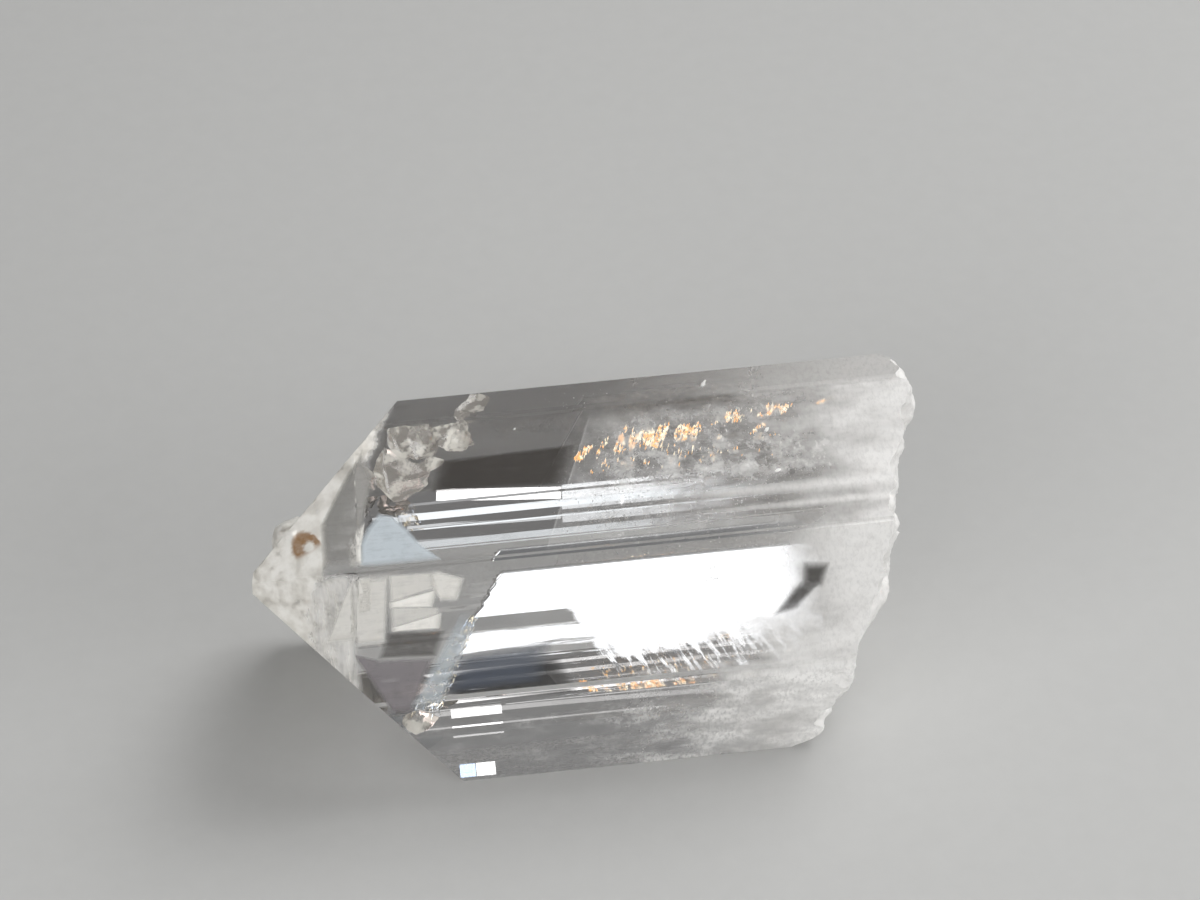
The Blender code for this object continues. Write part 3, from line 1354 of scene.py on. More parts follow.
@dataclass
class BrokenBase:
    """The rough break across the far end."""

    line: tuple[Pair, ...] = (
        (-9.4, 23.4), (-8.6, 24.7), (-7.6, 25.4), (-6.1, 26.0), (-4.1, 26.6), (-2.9, 27.4),
        (-1.6, 28.1), (-0.1, 28.5), (1.7, 28.9), (3.3, 29.0), (4.7, 29.4), (5.7, 29.9),
        (6.9, 30.1), (8.3, 29.7),
    )
    # It falls back by this share of the distance from a ridge so far forward.
    lean: float = 0.16
    ridge: float = 2
    broad: Swell = Swell((0.32, 0.32), 4.1, 1.0, octaves=3)
    ledge_height: float = 0.75
    ledge_slope: float = 3
    relief: float = 0.42
    relief_size: float = 2.6
    chatter: Swell = Swell((2.1, 1.5), 0.7, 0.9, 2.2)
    chatter_relief: float = 0.09
    # The break comes no nearer to the tip than this.
    nearest: float = 20.0
    # The block that cuts it: half size, cells to a side, and thickness.
    reach: float = 10.5
    cells: int = 230
    thickness: float = 40.0
    worn_corner: Pair = (29.1, 8.45)
    worn_facing: Pair = (0.5, 0.87)

    def ledge(self, height: float) -> float:
        """Height rounded towards ledges, with a short slope between them."""
        whole, part = divmod(height / self.ledge_height, 1)
        return self.ledge_height * (whole + min(1, max(0, self.ledge_slope * part - 1)))

    def along(self, across: float, forward: float) -> float:
        """How far along the crystal the break lies.

        Args:
            across: Millimetres across the crystal.
            forward: Millimetres forward.

        Returns:
            The distance from the tip in millimetres.
        """
        outline = np.interp(across, *zip(*self.line))
        ledges = abs(self.ledge(self.broad.at(across, forward)))
        factors = self.broad.factors
        where = Vector((across * factors[0], forward * factors[1], self.broad.seed))
        fine = noise.noise(where * self.relief_size)
        fall = self.lean * abs(forward - self.ridge) + ledges + self.relief * fine
        return float(outline - fall + self.chatter_relief * self.chatter.at(across, forward))

    def cutter(self) -> bpy.types.Object:
        """Makes the block that cuts the break.

        Returns:
            The block.
        """
        return ReliefBlock(
            name="base_cutter", centre=place(0, 0, 0), side_u=heading(0, 0, 1),
            side_v=heading(0, 1, 0), outward=heading(1, 0, 0), reach=(self.reach,) * 2,
            cells=(self.cells,) * 2, thickness=self.thickness, surface=Surface.BROKEN,
            height=lambda u, v: self.along(v, u),
        ).build()


@dataclass
class Chips:
    """The chips on the front faces and the battered shoulder behind the tip."""

    single: tuple[Chip, ...] = (
        Chip(6.6, -7.2, 0.6, 1.0, 0.30),
        Chip(28.4, -2.6, 0.0, 1.8, 0.35, 0.08),
        Chip(25.6, -7.6, 0.3, 1.6, 0.30, 0.08),
    )
    shoulder_start: Pair = (5.4, 4.05)
    shoulder_end: Pair = (8.6, 7.1)
    shoulder_rows: int = 3
    shoulder_columns: int = 4
    shoulder_lean: float = 0.8
    shoulder_radius: float = 1.9
    radius_spread: float = 0.7
    shoulder_bite: float = 0.36
    bite_spread: float = 0.9
    facet_cuts: int = 6
    # Relief and size of the fine ribs and of the broad hollows on a ball.
    ribs: Pair = (0.010, 6.0)
    hollows: Pair = (0.05, 2.2)
    lump_place: Triple = (2.0, 2.95, 1.7)
    lump_size: Triple = (1.1, 0.95, 2.3)
    lump_relief: float = 0.15

    def shoulder(self) -> Iterable[Chip]:
        """The overlapping chips of the shoulder.

        Yields:
            Each chip, row by row.
        """
        for row in range(self.shoulder_rows):
            for column in range(self.shoulder_columns):
                shares = (
                    (column + 0.5 * (row % 2)) / self.shoulder_columns,
                    row / (self.shoulder_rows - 1),
                )
                along, off_edge = (
                    start + share * (end - start)
                    for start, end, share in zip(self.shoulder_start, self.shoulder_end, shares)
                )
                vary = noise.noise(Vector((2.3 * along, 1.7 * off_edge, 0.4)))
                lean = self.shoulder_lean * (off_edge - self.shoulder_start[1])
                radius = self.shoulder_radius * (1 + self.radius_spread * vary)
                bite = self.shoulder_bite * (1 + self.bite_spread * vary)
                yield Chip(along + lean, off_edge, 0.0, radius, bite)

    def ball(
        self, name: str, centre: Vector, sizes: Sequence[float], surface: Surface, relief: float
    ) -> bpy.types.Object:
        """A ball of the given half sizes along, across and forward, with a chipped surface.

        Args:
            name: The object's name.
            centre: Its middle.
            sizes: Half sizes.
            surface: What its faces leave on the crystal.
            relief: How angular it is, where 0 is round.

        Returns:
            The ball.
        """
        mesh = bmesh.new()
        bmesh.ops.create_icosphere(mesh, subdivisions=2, radius=1.0)
        turn = Matrix.Rotation(9.0 * speckle(*centre), 3, heading(*centre))
        for vert in mesh.verts:
            vert.co = turn @ vert.co
            knock = relief * (speckle(*(vert.co * 9 + centre)) - 0.5)
            vert.co *= 1 + knock
        bmesh.ops.subdivide_edges(mesh, edges=mesh.edges, cuts=self.facet_cuts, use_grid_fill=True)
        for vert in mesh.verts:
            rib = self.ribs[0] * noise.fractal(vert.co * self.ribs[1] + centre, 0.8, 2.1, 4)
            where = vert.co * self.hollows[1] + centre
            hollow = self.hollows[0] * noise.fractal(where, 1.0, 2.0, 2)
            offset = [(1 + rib + hollow) * part * size for part, size in zip(vert.co, sizes)]
            vert.co = centre + place(*offset)
        bmesh.ops.recalc_face_normals(mesh, faces=mesh.faces)
        mark(mesh, surface)
        return link(mesh, name)

    def cutters(self, prism: Prism) -> list[bpy.types.Object]:
        """Makes one rough ball for each chip.

        Args:
            prism: The prism that they cut.

        Returns:
            The balls.
        """
        balls = []
        for number, chip in enumerate([*self.single, *self.shoulder()]):
            rim = prism.on_front(chip.along, chip.off_edge)
            side = math.copysign(LATTICE.gentle, chip.off_edge)
            outward = Vector((0, *across_dir(LATTICE.tilt + side)))
            centre = rim + outward * (chip.radius - chip.bite - chip.inset)
            sizes = (chip.radius,) * 3
            balls.append(self.ball(f"chip_{number}", centre, sizes, Surface.BROKEN, chip.relief))
        return balls

    def lump(self) -> bpy.types.Object:
        """The small lump grown on the upper dome face beside the tip."""
        centre = place(*self.lump_place)
        return self.ball("tip_lump", centre, self.lump_size, Surface.ETCHED, self.lump_relief)


@dataclass
class Seat:
    """Where the crystal's own reference point lies in the frame."""

    shift: Vector = field(default_factory=lambda: Vector((-14.9956, -0.0044, 7.09)))

    def dress(self, thing: bpy.types.Object, finish: Any) -> None:
        """Gives a mesh made in crystal millimetres its finish, and moves it to the frame.

        Args:
            thing: The object that holds the mesh.
            finish: What makes its material.
        """
        thing.data.materials.clear()
        thing.data.materials.append(finish.material())
        thing.data.transform(Matrix.Scale(MM, 4) @ Matrix.Translation(self.shift))


SEAT = Seat()


@dataclass
class CrystalBody:
    """The whole crystal as one closed clear solid."""

    name: str = "crystal_body"
    finish: CrystalFinish = CrystalFinish()
    prism: Prism = field(default_factory=Prism)
    tip: Tip = field(default_factory=Tip)
    base: BrokenBase = field(default_factory=BrokenBase)
    chips: Chips = field(default_factory=Chips)

    @staticmethod
    def combine(crystal: bpy.types.Object, helper: bpy.types.Object, operation: str) -> None:
        """Joins or cuts a helper, and removes it.

        Args:
            crystal: What it is joined to or cut from.
            helper: The helper.
            operation: The name of the Boolean operation.
        """
        boolean = crystal.modifiers.new(helper.name, "BOOLEAN")
        boolean.solver = "MANIFOLD"
        boolean.operation = operation
        boolean.object = helper
        graph = bpy.context.evaluated_depsgraph_get()
        graph.update()
        data = bpy.data.meshes.new_from_object(crystal.evaluated_get(graph))
        crystal.modifiers.clear()
        old, crystal.data = crystal.data, data
        bpy.data.meshes.remove(old)
        bpy.data.objects.remove(helper, do_unlink=True)

    def store_surfaces(self, data: bpy.types.Mesh) -> None:
        """Keeps what each face is as values on the mesh, and leaves one material.

        Args:
            data: The crystal's mesh.
        """
        kinds = np.empty(len(data.polygons), np.int32)
        data.polygons.foreach_get("material_index", kinds)
        for surface, name in ((Surface.BROKEN, "broken"), (Surface.ETCHED, "etched")):
            layer = data.attributes.new(name, "FLOAT", "FACE")
            layer.data.foreach_set("value", (kinds == surface.value).astype(np.float32))
        rough = kinds != Surface.GROWN.value
        data.polygons.foreach_set("use_smooth", rough)
        data.polygons.foreach_set("material_index", np.zeros(len(kinds), np.int32))

    def build(self) -> bpy.types.Object:
        """Makes the crystal and dresses it.

        Returns:
            The crystal.
        """
        mesh = self.prism.mesh()
        self.tip.cut(mesh, self.prism)
        self.tip.slice_off(mesh, place(*self.base.worn_corner, 0), place(*self.base.worn_facing, 0))
        bmesh.ops.recalc_face_normals(mesh, faces=mesh.faces)
        crystal = link(mesh, self.name)
        self.combine(crystal, self.tip.etched_cutter(), "DIFFERENCE")
        self.combine(crystal, self.chips.lump(), "UNION")
        self.combine(crystal, self.base.cutter(), "DIFFERENCE")
        for cutter in self.chips.cutters(self.prism):
            self.combine(crystal, cutter, "DIFFERENCE")
        self.store_surfaces(crystal.data)
        SEAT.dress(crystal, self.finish)
        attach(crystal, BODY)
        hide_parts(NODE)
        return crystal


# What is caught inside the crystal -----------------------------------------------------


@dataclass(frozen=True)
class Bounds:
    """The space inside the crystal that its inclusions keep to."""

    prism: Prism = field(default_factory=Prism)
    tip: Tip = field(default_factory=Tip)
    base: BrokenBase = field(default_factory=BrokenBase)

    @cached_property
    def planes(self) -> tuple[tuple[Vector, float], ...]:
        """Every flat face but the break.

        Returns:
            (outward normal, distance) of each.
        """
        sides = [(Vector((0, *across_dir(turn))), size) for turn, size in self.prism.faces()]
        ends = (
            self.tip.dome(1),
            self.tip.dome(-1),
            self.tip.facet(self.prism, self.tip.upper_side),
            self.tip.facet(self.prism, self.tip.lower_side),
        )
        return (*sides, *((normal, point.dot(normal)) for point, normal in ends))

    def depth(self, along: float, across: float, forward: float) -> float:
        """How far inside the crystal a place is.

        Args:
            along: Millimetres along the crystal.
            across: Millimetres across it.
            forward: Millimetres forward.

        Returns:
            The depth in millimetres, less than 0 outside.
        """
        point = place(along, across, forward)
        gap = min(size - point.dot(normal) for normal, size in self.planes)
        if gap < 0 or along < self.base.nearest:
            return gap
        return min(gap, self.base.along(across, forward) - along)

    def on_surface(self, along: float, across: float, lift: float = 0.0) -> Vector:
        """Point of the flat faces that look forward, tip facets and foot face included.

        Args:
            along: Millimetres along the crystal.
            across: Millimetres across it.
            lift: How far outside the face the point lies.

        Returns:
            The point in millimetres.
        """
        start, ahead = place(along, across, 0), heading(0, 0, 1)
        reaches = [
            ((size - start.dot(normal)) / ahead.dot(normal), normal)
            for normal, size in self.planes
            if ahead.dot(normal) > 0.001
        ]
        forward, normal = min(reaches, key=lambda reach: reach[0])
        return start + forward * ahead + lift * normal


@dataclass
class Inclusion:
    """A thing inside the crystal, which rides with it."""

    name: str
    finish: Any
    bounds: Bounds = field(default_factory=Bounds)

    def seat(self, thing: bpy.types.Object) -> bpy.types.Object:
        """Dresses a mesh made in crystal millimetres and puts it in the frame.

        Args:
            thing: The object.

        Returns:
            The same object.
        """
        SEAT.dress(thing, self.finish)
        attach(thing, BODY)
        return thing


@dataclass
class CrackSheet(Inclusion):
    """A thin crack, close to a plane, given by its forward place over a patch of the crystal."""

    along_ends: Pair = (5.0, 25.0)
    across_ends: Pair = (-6.4, 1.2)
    forward_at: float = 3.1
    forward_slopes: Pair = (0.0, 0.192)
    # Its waves, which are calm above one place across the crystal and full below another.
    wave: float = 0.03
    waves: Swell = Swell((0.3, 0.5), 5.0)
    calm_share: float = 0.22
    calm_above: float = 2.2
    wavy_below: float = 3.8
    edge_chatter: float = 0.25
    edge_line: tuple[Pair, Pair] = ((9.2, -1.0), (6.4, -5.25))
    pitch: float = 0.16
    thickness: float = 0.012
    margin: float = 0.05

    def forward(self, along: float, across: float) -> float:
        """The sheet's forward place.

        Args:
            along: Millimetres along the crystal.
            across: Millimetres across it.

        Returns:
            Millimetres forward.
        """
        middle = (sum(self.along_ends) / 2, sum(self.across_ends) / 2)
        lean = sum(
            slope * (value - centre)
            for slope, value, centre in zip(self.forward_slopes, (along, across), middle)
        )
        wavy = smooth(self.calm_above, self.wavy_below, -across)
        wave = self.wave * (self.calm_share + (1 - self.calm_share) * wavy)
        return self.forward_at + lean + wave * self.waves.at(along, across)

    def past_edge(self, along: float, across: float) -> float:
        """How far a place lies on the crack's side of its front line.

        Args:
            along: Millimetres along the crystal.
            across: Millimetres across it.

        Returns:
            The distance in millimetres.
        """
        (x0, y0), (x1, y1) = self.edge_line
        length = math.hypot(x1 - x0, y1 - y0)
        where = Vector((across * 1.4, 2.0, 9.0))
        chatter = self.edge_chatter * noise.fractal(where, 0.8, 2.0, 3)
        return ((along - x0) * (y0 - y1) + (across - y0) * (x1 - x0)) / length + chatter

    def build(self) -> bpy.types.Object:
        """Makes the sheet as a thin closed plate.

        Returns:
            The sheet.
        """
        mesh = bmesh.new()
        inset = mesh.verts.layers.float.new("inset")
        counts = [
            int((ends[1] - ends[0]) / self.pitch) for ends in (self.along_ends, self.across_ends)
        ]
        grid = {}
        for i in range(counts[0] + 1):
            for j in range(counts[1] + 1):
                along = self.along_ends[0] + i * self.pitch
                across = self.across_ends[0] + j * self.pitch
                forward = self.forward(along, across)
                room = self.bounds.depth(along, across, forward) - self.margin
                room = min(room, self.past_edge(along, across), self.across_ends[1] - across)
                if room > 0:
                    vert = mesh.verts.new(place(along, across, forward))
                    vert[inset] = room
                    grid[i, j] = vert
        for i, j in grid:
            corners = [(i, j), (i + 1, j), (i + 1, j + 1), (i, j + 1)]
            if all(corner in grid for corner in corners):
                mesh.faces.new([grid[corner] for corner in corners])
        loose = [vert for vert in mesh.verts if not vert.link_faces]
        bmesh.ops.delete(mesh, geom=loose, context="VERTS")
        bmesh.ops.recalc_face_normals(mesh, faces=mesh.faces)
        for face in mesh.faces:
            face.smooth = True
        bmesh.ops.solidify(mesh, geom=mesh.faces[:], thickness=self.thickness)
        return self.seat(link(mesh, self.name))


@dataclass(frozen=True)
class Flake:
    """One tiny flat flake: where it is, where it faces, and its half sizes."""

    middle: Vector
    facing: Vector
    upright: Vector
    half_width: float
    half_height: float


class FlakeMesh:
    """Many flakes in one mesh, each a thin closed eight-sided body."""

    FACES = ((0, 2, 4), (2, 1, 4), (1, 3, 4), (3, 0, 4), (2, 0, 5), (1, 2, 5), (3, 1, 5), (0, 3, 5))
    THINNESS = 0.12

    def __init__(self) -> None:
        """Starts with no flakes."""
        self.points: list[Vector] = []
        self.faces: list[tuple[int, ...]] = []

    def add(self, flake: Flake) -> None:
        """Adds one flake.

        Args:
            flake: Its place and sizes.
        """
        first = len(self.points)
        side = flake.upright.cross(flake.facing).normalized()
        rise = flake.facing.cross(side).normalized()
        thick = self.THINNESS * min(flake.half_width, flake.half_height)
        for axis, half in (
            (side, flake.half_width), (rise, flake.half_height), (flake.facing, thick),
        ):
            self.points += [flake.middle - half * axis, flake.middle + half * axis]
        self.faces += [tuple(first + corner for corner in face) for face in self.FACES]

    def object(self, name: str) -> bpy.types.Object:
        """Makes the flakes one object.

        Args:
            name: The object's name.

        Returns:
            The object.
        """
        data = bpy.data.meshes.new(name)
        data.from_pydata([tuple(point) for point in self.points], [], self.faces)
        return show(name, data)


@dataclass
class SparkleVeil(Inclusion):
    """Clusters of tiny gold mirrors on one inner plane."""

    # Each cluster: along, across, half length, half height, and how many flakes.
    clusters: tuple[tuple[float, float, float, float, int], ...] = (
        (15.0, 5.05, 0.25, 0.42, 70),
        (15.95, 5.35, 0.14, 0.42, 30),
        (17.75, 5.55, 1.10, 0.66, 430),
        (19.75, 5.62, 0.62, 0.48, 180),
        (21.85, 6.15, 0.66, 0.30, 95),
        (23.80, 6.28, 0.60, 0.32, 120),
        (23.05, 5.50, 0.14, 0.26, 20),
        (26.10, 6.50, 0.22, 0.14, 20),
        (19.6, 4.6, 4.2, 0.8, 130),
    )
    forward_at: float = 2.2
    forward_spread: float = 0.15
    tilt_spread: float = 0.055
    cluster_lean: float = 0.35
    # Noise below this leaves a gap.
    gap_below: float = -0.12
    depth_least: float = 0.1
    # Half sizes of a flake: the least and the spread above it.
    widths: Pair = (0.018, 0.022)
    heights: Pair = (0.06, 0.13)
    upright_lean: float = 0.32

    def build(self) -> bpy.types.Object:
        """Makes the flakes.

        Returns:
            The flakes as one object.
        """
        flakes = FlakeMesh()
        for index, (along, across, half_along, half_across, count) in enumerate(self.clusters):
            for number in range(count):
                roll = [speckle(index + 1, number, seed) for seed in range(1, 8)]
                aside, up = 2 * roll[0] - 1, (2 * roll[1] - 1) * (0.55 + 0.45 * roll[4])
                shifted = along + half_along * aside + self.cluster_lean * up
                spot = (shifted, across + half_across * up)
                if noise.noise(Vector((spot[0] * 2.6, spot[1] * 1.4, 3.0))) < self.gap_below:
                    continue
                tilts = (self.tilt_spread * (2 * part - 1) for part in roll[2:4])
                facing = heading(*tilts, 1)
                forward = self.forward_at + self.forward_spread * (roll[6] - 0.5)
                if self.bounds.depth(*spot, forward) > self.depth_least:
                    width = self.widths[0] + self.widths[1] * roll[4]
                    height = self.heights[0] + self.heights[1] * roll[5] ** 2
                    upright = heading(self.upright_lean, 1, 0)
                    flakes.add(Flake(place(*spot, forward), facing, upright, width, height))
        return self.seat(flakes.object(self.name))


@dataclass
class CrackFront(Inclusion):
    """Splinters along the line where the front crack ends."""

    sheet: CrackSheet = field(default_factory=lambda: CrackSheet("front_crack", CrackFinish()))
    count: int = 420
    half_breadth: float = 1.35
    forward_spread: float = 0.4
    tilt_spread: float = 0.20
    depth_least: float = 0.12
    # Half sizes of a splinter: the least and the spread above it.
    widths: Pair = (0.012, 0.04)
    lengths: Pair = (0.05, 0.34)
    fan: float = 3.0

    def build(self) -> bpy.types.Object:
        """Makes the splinters.

        Returns:
            The splinters as one object.
        """
        flakes = FlakeMesh()
        (x0, y0), (x1, y1) = self.sheet.edge_line
        for number in range(self.count):
            roll = [speckle(number + 0.71, seed, 8.8) for seed in range(1, 9)]
            share = roll[0] * 1.08
            aside = self.half_breadth * roll[1] ** 1.3 * (0.35 + 0.65 * share) - 0.05
            along, across = x0 + share * (x1 - x0) + aside, y0 + share * (y1 - y0)
            forward = self.sheet.forward(along, across) + self.forward_spread * (roll[2] - 0.5)
            if self.bounds.depth(along, across, forward) < self.depth_least:
                continue
            tilts = [self.tilt_spread * (2 * part - 1) for part in roll[3:5]]
            facing = heading(tilts[0], tilts[1] - self.sheet.forward_slopes[1], 1)
            length = self.lengths[0] + self.lengths[1] * roll[5] ** 3
            width = self.widths[0] + self.widths[1] * roll[7] ** 2
            upright = heading(x1 - x0 + self.fan * (roll[6] - 0.3), y1 - y0, 0)
            flakes.add(Flake(place(along, across, forward), facing, upright, width, length))
        return self.seat(flakes.object(self.name))


@dataclass
class MilkyVeils(Inclusion):
    """Granular white veils that thicken towards the base."""

    count: int = 12000
    start: float = 13.5
    end: float = 29.0
    across_ends: Pair = (-8.0, 8.0)
    # The curved sheets that the specks lie on: how many, from where forward, and how far.
    sheets: int = 7
    sheets_start: float = -5.5
    sheets_reach: float = 10.5
    curve: float = 2.4
    thickness: float = 0.25
    # Noise below this leaves a gap, at the start and less of one at the base.
    gap_below: float = 0.28
    gap_closed: float = 0.55
    depth_least: float = 0.15
    # Half width of a speck: the least and the spread above it, and its height in widths.
    sizes: Pair = (0.010, 0.026)
    height_share: float = 1.5

    def build(self) -> bpy.types.Object:
        """Makes the specks.

        Returns:
            The specks as one object.
        """
        flakes = FlakeMesh()
        for number in range(self.count):
            roll = [speckle(number + 0.37, seed, 4.2) for seed in range(1, 10)]
            along = self.start + (self.end - self.start) * roll[0] ** 0.75
            low, high = self.across_ends
            across = low + (high - low) * roll[1]
            sheet = int(roll[2] * self.sheets)
            curve = noise.noise(Vector((along * 0.16, across * 0.2, sheet * 4.7)))
            forward = self.sheets_start + self.sheets_reach * (sheet + 0.5) / self.sheets
            forward += self.curve * curve + self.thickness * roll[3]
            cloud = Swell((0.33, 0.42), sheet * 2.3, 0.9).at(along, across)
            gap_below = self.gap_below - self.gap_closed * smooth(self.start, self.end, along)
            spot = (along, across, forward)
            if cloud < gap_below or self.bounds.depth(*spot) < self.depth_least:
                continue
            facing = heading(roll[4] - 0.5, roll[5] - 0.5, 1)
            size = self.sizes[0] + self.sizes[1] * roll[6] ** 3
            upright = heading(roll[7] - 0.5, 1, 0)
            height = size * self.height_share
            flakes.add(Flake(place(*spot), facing, upright, size, height))
        return self.seat(flakes.object(self.name))


class Tone(Enum):
    """Where the colour of a painted film lies between the darkest shade and the palest highlight.
    """

    DARK = 0.0
    SLATE = 0.2
    MAUVE = 0.4
    GREY = 0.6
    BLUE = 0.8
    CREAM = 1.0


@dataclass(frozen=True)
class PaintedSheenFinish:
    """Painted highlights, reflections and shade on thin films laid over the front faces."""

    name: str = "inner_sheen"
    # Painted shade at the dark end, painted reflections in the slate, mauve, grey and blue tones,
    # and painted highlights at the cream end.
    stops: tuple[tuple[float, Colour], ...] = (
        (Tone.DARK.value, (0.040, 0.034, 0.028)),
        (Tone.SLATE.value, (0.12, 0.14, 0.18)),
        (Tone.MAUVE.value, (0.27, 0.25, 0.26)),
        (Tone.GREY.value, (0.40, 0.39, 0.37)),
        (Tone.BLUE.value, (0.60, 0.66, 0.70)),
        (Tone.CREAM.value, (0.95, 0.93, 0.88)),
    )
    streaks: Pattern = Pattern(1.0, 4.0, 0.65, (0.45, 3.2, 0))
    clouds: Pattern = Pattern(1.6, 5.0, 0.7, (1.3, 1, 0), layer=3.0)
    cloud_share: float = 0.7
    least: float = 0.12
    roughness: float = 0.35

    def material(self) -> bpy.types.Material:
        """Builds the material.

        Returns:
            A streaky film of painted light and shade in the tone of each face.
        """
        book = NodeBook(self.name)
        spot = book.crystal_place()
        colour = book.ramp(book.attribute("tone"), self.stops)
        clouds = self.clouds.on(book, spot) * self.cloud_share
        mottle = (self.streaks.on(book, spot) + clouds + self.least).smallest(1.0)
        alpha = book.attribute("cover") * mottle
        return book.finish(book.surface(base_color=colour, roughness=self.roughness, alpha=alpha))


@dataclass(frozen=True)
class Film:
    """One flat film of painted light and shade on a front face: its corners as (along, across),
    tone and cover.
    """

    corners: tuple[Pair, ...]
    tone: Tone
    cover: float
    fade: float = 0.2


@dataclass
class PaintedSheen(Inclusion):
    """Painted highlights, reflections and shade, pale and dark, laid just over the front faces."""

    # The blue film is a painted reflection, the dark ones are painted shade and the cream ones are
    # painted highlights.
    films: tuple[Film, ...] = (
        Film(
            ((4.5, 1.36), (4.6, 2.3), (5.1, 3.1), (5.7, 3.7), (6.3, 3.55), (6.9, 2.9), (7.4, 2.2),
             (8.3, 1.36)), Tone.BLUE, 0.80, 0.25,
        ),
        Film(((4.25, 1.4), (4.15, 2.2), (4.6, 3.1), (5.1, 3.4), (4.85, 2.3), (4.8, 1.4)),
             Tone.CREAM, 0.85, 0.4),
        Film(((3.0, 1.3), (3.1, 3.4), (4.3, 5.3), (5.3, 6.6), (5.7, 5.4), (5.0, 3.2), (4.5, 1.3)),
             Tone.GREY, 0.70, 0.3),
        Film(((8.5, 5.75), (14.75, 5.9), (13.95, 4.12), (8.0, 4.35)), Tone.DARK, 0.68, 0.20),
        Film(((2.9, -1.8), (3.9, 0.3), (4.3, 1.0), (4.2, -1.8)), Tone.CREAM, 0.80, 0.3),
        Film(((4.5, 1.0), (5.1, 1.0), (4.95, -0.6), (4.4, -0.65)), Tone.CREAM, 0.75, 0.3),
        Film(((4.2, 1.05), (5.9, 1.05), (5.5, -2.1), (3.9, -2.1)), Tone.CREAM, 0.50, 0.25),
        Film(((5.7, -0.25), (8.0, 0.15), (7.7, -0.65), (5.7, -0.5)), Tone.CREAM, 1.0, 0.3),
        Film(((5.7, -1.36), (8.1, -0.9), (7.95, -1.62), (5.7, -1.56)), Tone.CREAM, 0.95, 0.3),
        Film(((7.6, 0.9), (8.0, 0.98), (9.2, 0.5), (8.8, -0.5), (8.0, -0.45), (7.6, 0.3)),
             Tone.CREAM, 0.70, 0.35),
        Film(((5.75, 0.98), (7.8, 0.92), (7.95, 0.15), (5.75, -0.3)), Tone.CREAM, 0.48, 0.25),
        Film(((5.7, -0.45), (7.95, -0.66), (8.05, -0.95), (5.7, -1.4)), Tone.CREAM, 0.40, 0.25),
        Film(((5.5, -1.55), (8.2, -1.7), (7.7, -2.85), (5.0, -2.7)), Tone.DARK, 0.42, 0.25),
        Film(((3.9, -2.3), (5.1, -2.7), (7.6, -2.85), (6.4, -5.3), (5.5, -5.3)),
             Tone.MAUVE, 0.80, 0.2),
        Film(((8.9, -0.9), (9.7, -1.2), (8.6, -3.3), (7.6, -5.2), (6.5, -5.4), (6.2, -5.0)),
             Tone.BLUE, 0.36, 0.4),
        Film(((8.4, -2.8), (13.0, -2.6), (12.2, -4.5), (7.7, -4.6)), Tone.SLATE, 0.48, 0.45),
        Film(((24.0, -0.2), (25.3, -0.4), (24.9, -1.5), (23.9, -1.6)), Tone.DARK, 0.50, 0.65),
        Film(((23.9, -1.1), (24.9, -1.2), (23.7, -2.4), (22.6, -2.6)), Tone.DARK, 0.50, 0.6),
    )
    lift: float = 0.004
    thickness: float = 0.003
    rings: int = 8
    edge_parts: int = 5

    def layer(
        self, mesh: bmesh.types.BMesh, film: Film, lift: float
    ) -> list[list[bmesh.types.BMVert]]:
        """Rings of points from the middle of a film to its rim, laid on the crystal.

        Args:
            mesh: Where the points go.
            film: The film.
            lift: How far outside the face they lie.

        Returns:
            The rings, the innermost first.
        """
        cover = mesh.verts.layers.float["cover"]
        corners = np.array(film.corners)
        centre = corners.mean(axis=0)
        rim = [
            start + part / self.edge_parts * (end - start)
            for start, end in zip(corners, np.roll(corners, -1, axis=0))
            for part in range(self.edge_parts)
        ]
        rings = []
        for number in range(1, self.rings + 1):
            share = number / self.rings
            ring = []
            for spot in rim:
                along, across = centre + share * (spot - centre)
                vert = mesh.verts.new(self.bounds.on_surface(along, across, lift))
                vert[cover] = film.cover * min(1.0, (1 - share) / film.fade)
                ring.append(vert)
            rings.append(ring)
        return rings

    def build(self) -> bpy.types.Object:
        """Makes the films as thin closed plates that lie on the crystal and fade at their rims.

        Returns:
            The films as one object.
        """
        mesh = bmesh.new()
        tone = mesh.faces.layers.float.new("tone")
        mesh.verts.layers.float.new("cover")
        for film in self.films:
            under = self.layer(mesh, film, self.lift)
            over = self.layer(mesh, film, self.lift + self.thickness)
            faces = [mesh.faces.new(reversed(under[0])), mesh.faces.new(over[0])]
            loops = [*under, *over[::-1]]
            for low, high in zip(loops, loops[1:]):
                for index in range(len(low)):
                    after = (index + 1) % len(low)
                    corners = (low[index], low[after], high[after], high[index])
                    faces.append(mesh.faces.new(corners))
            for face in faces:
                face[tone] = film.tone.value
        bmesh.ops.recalc_face_normals(mesh, faces=mesh.faces)
        return self.seat(link(mesh, self.name))


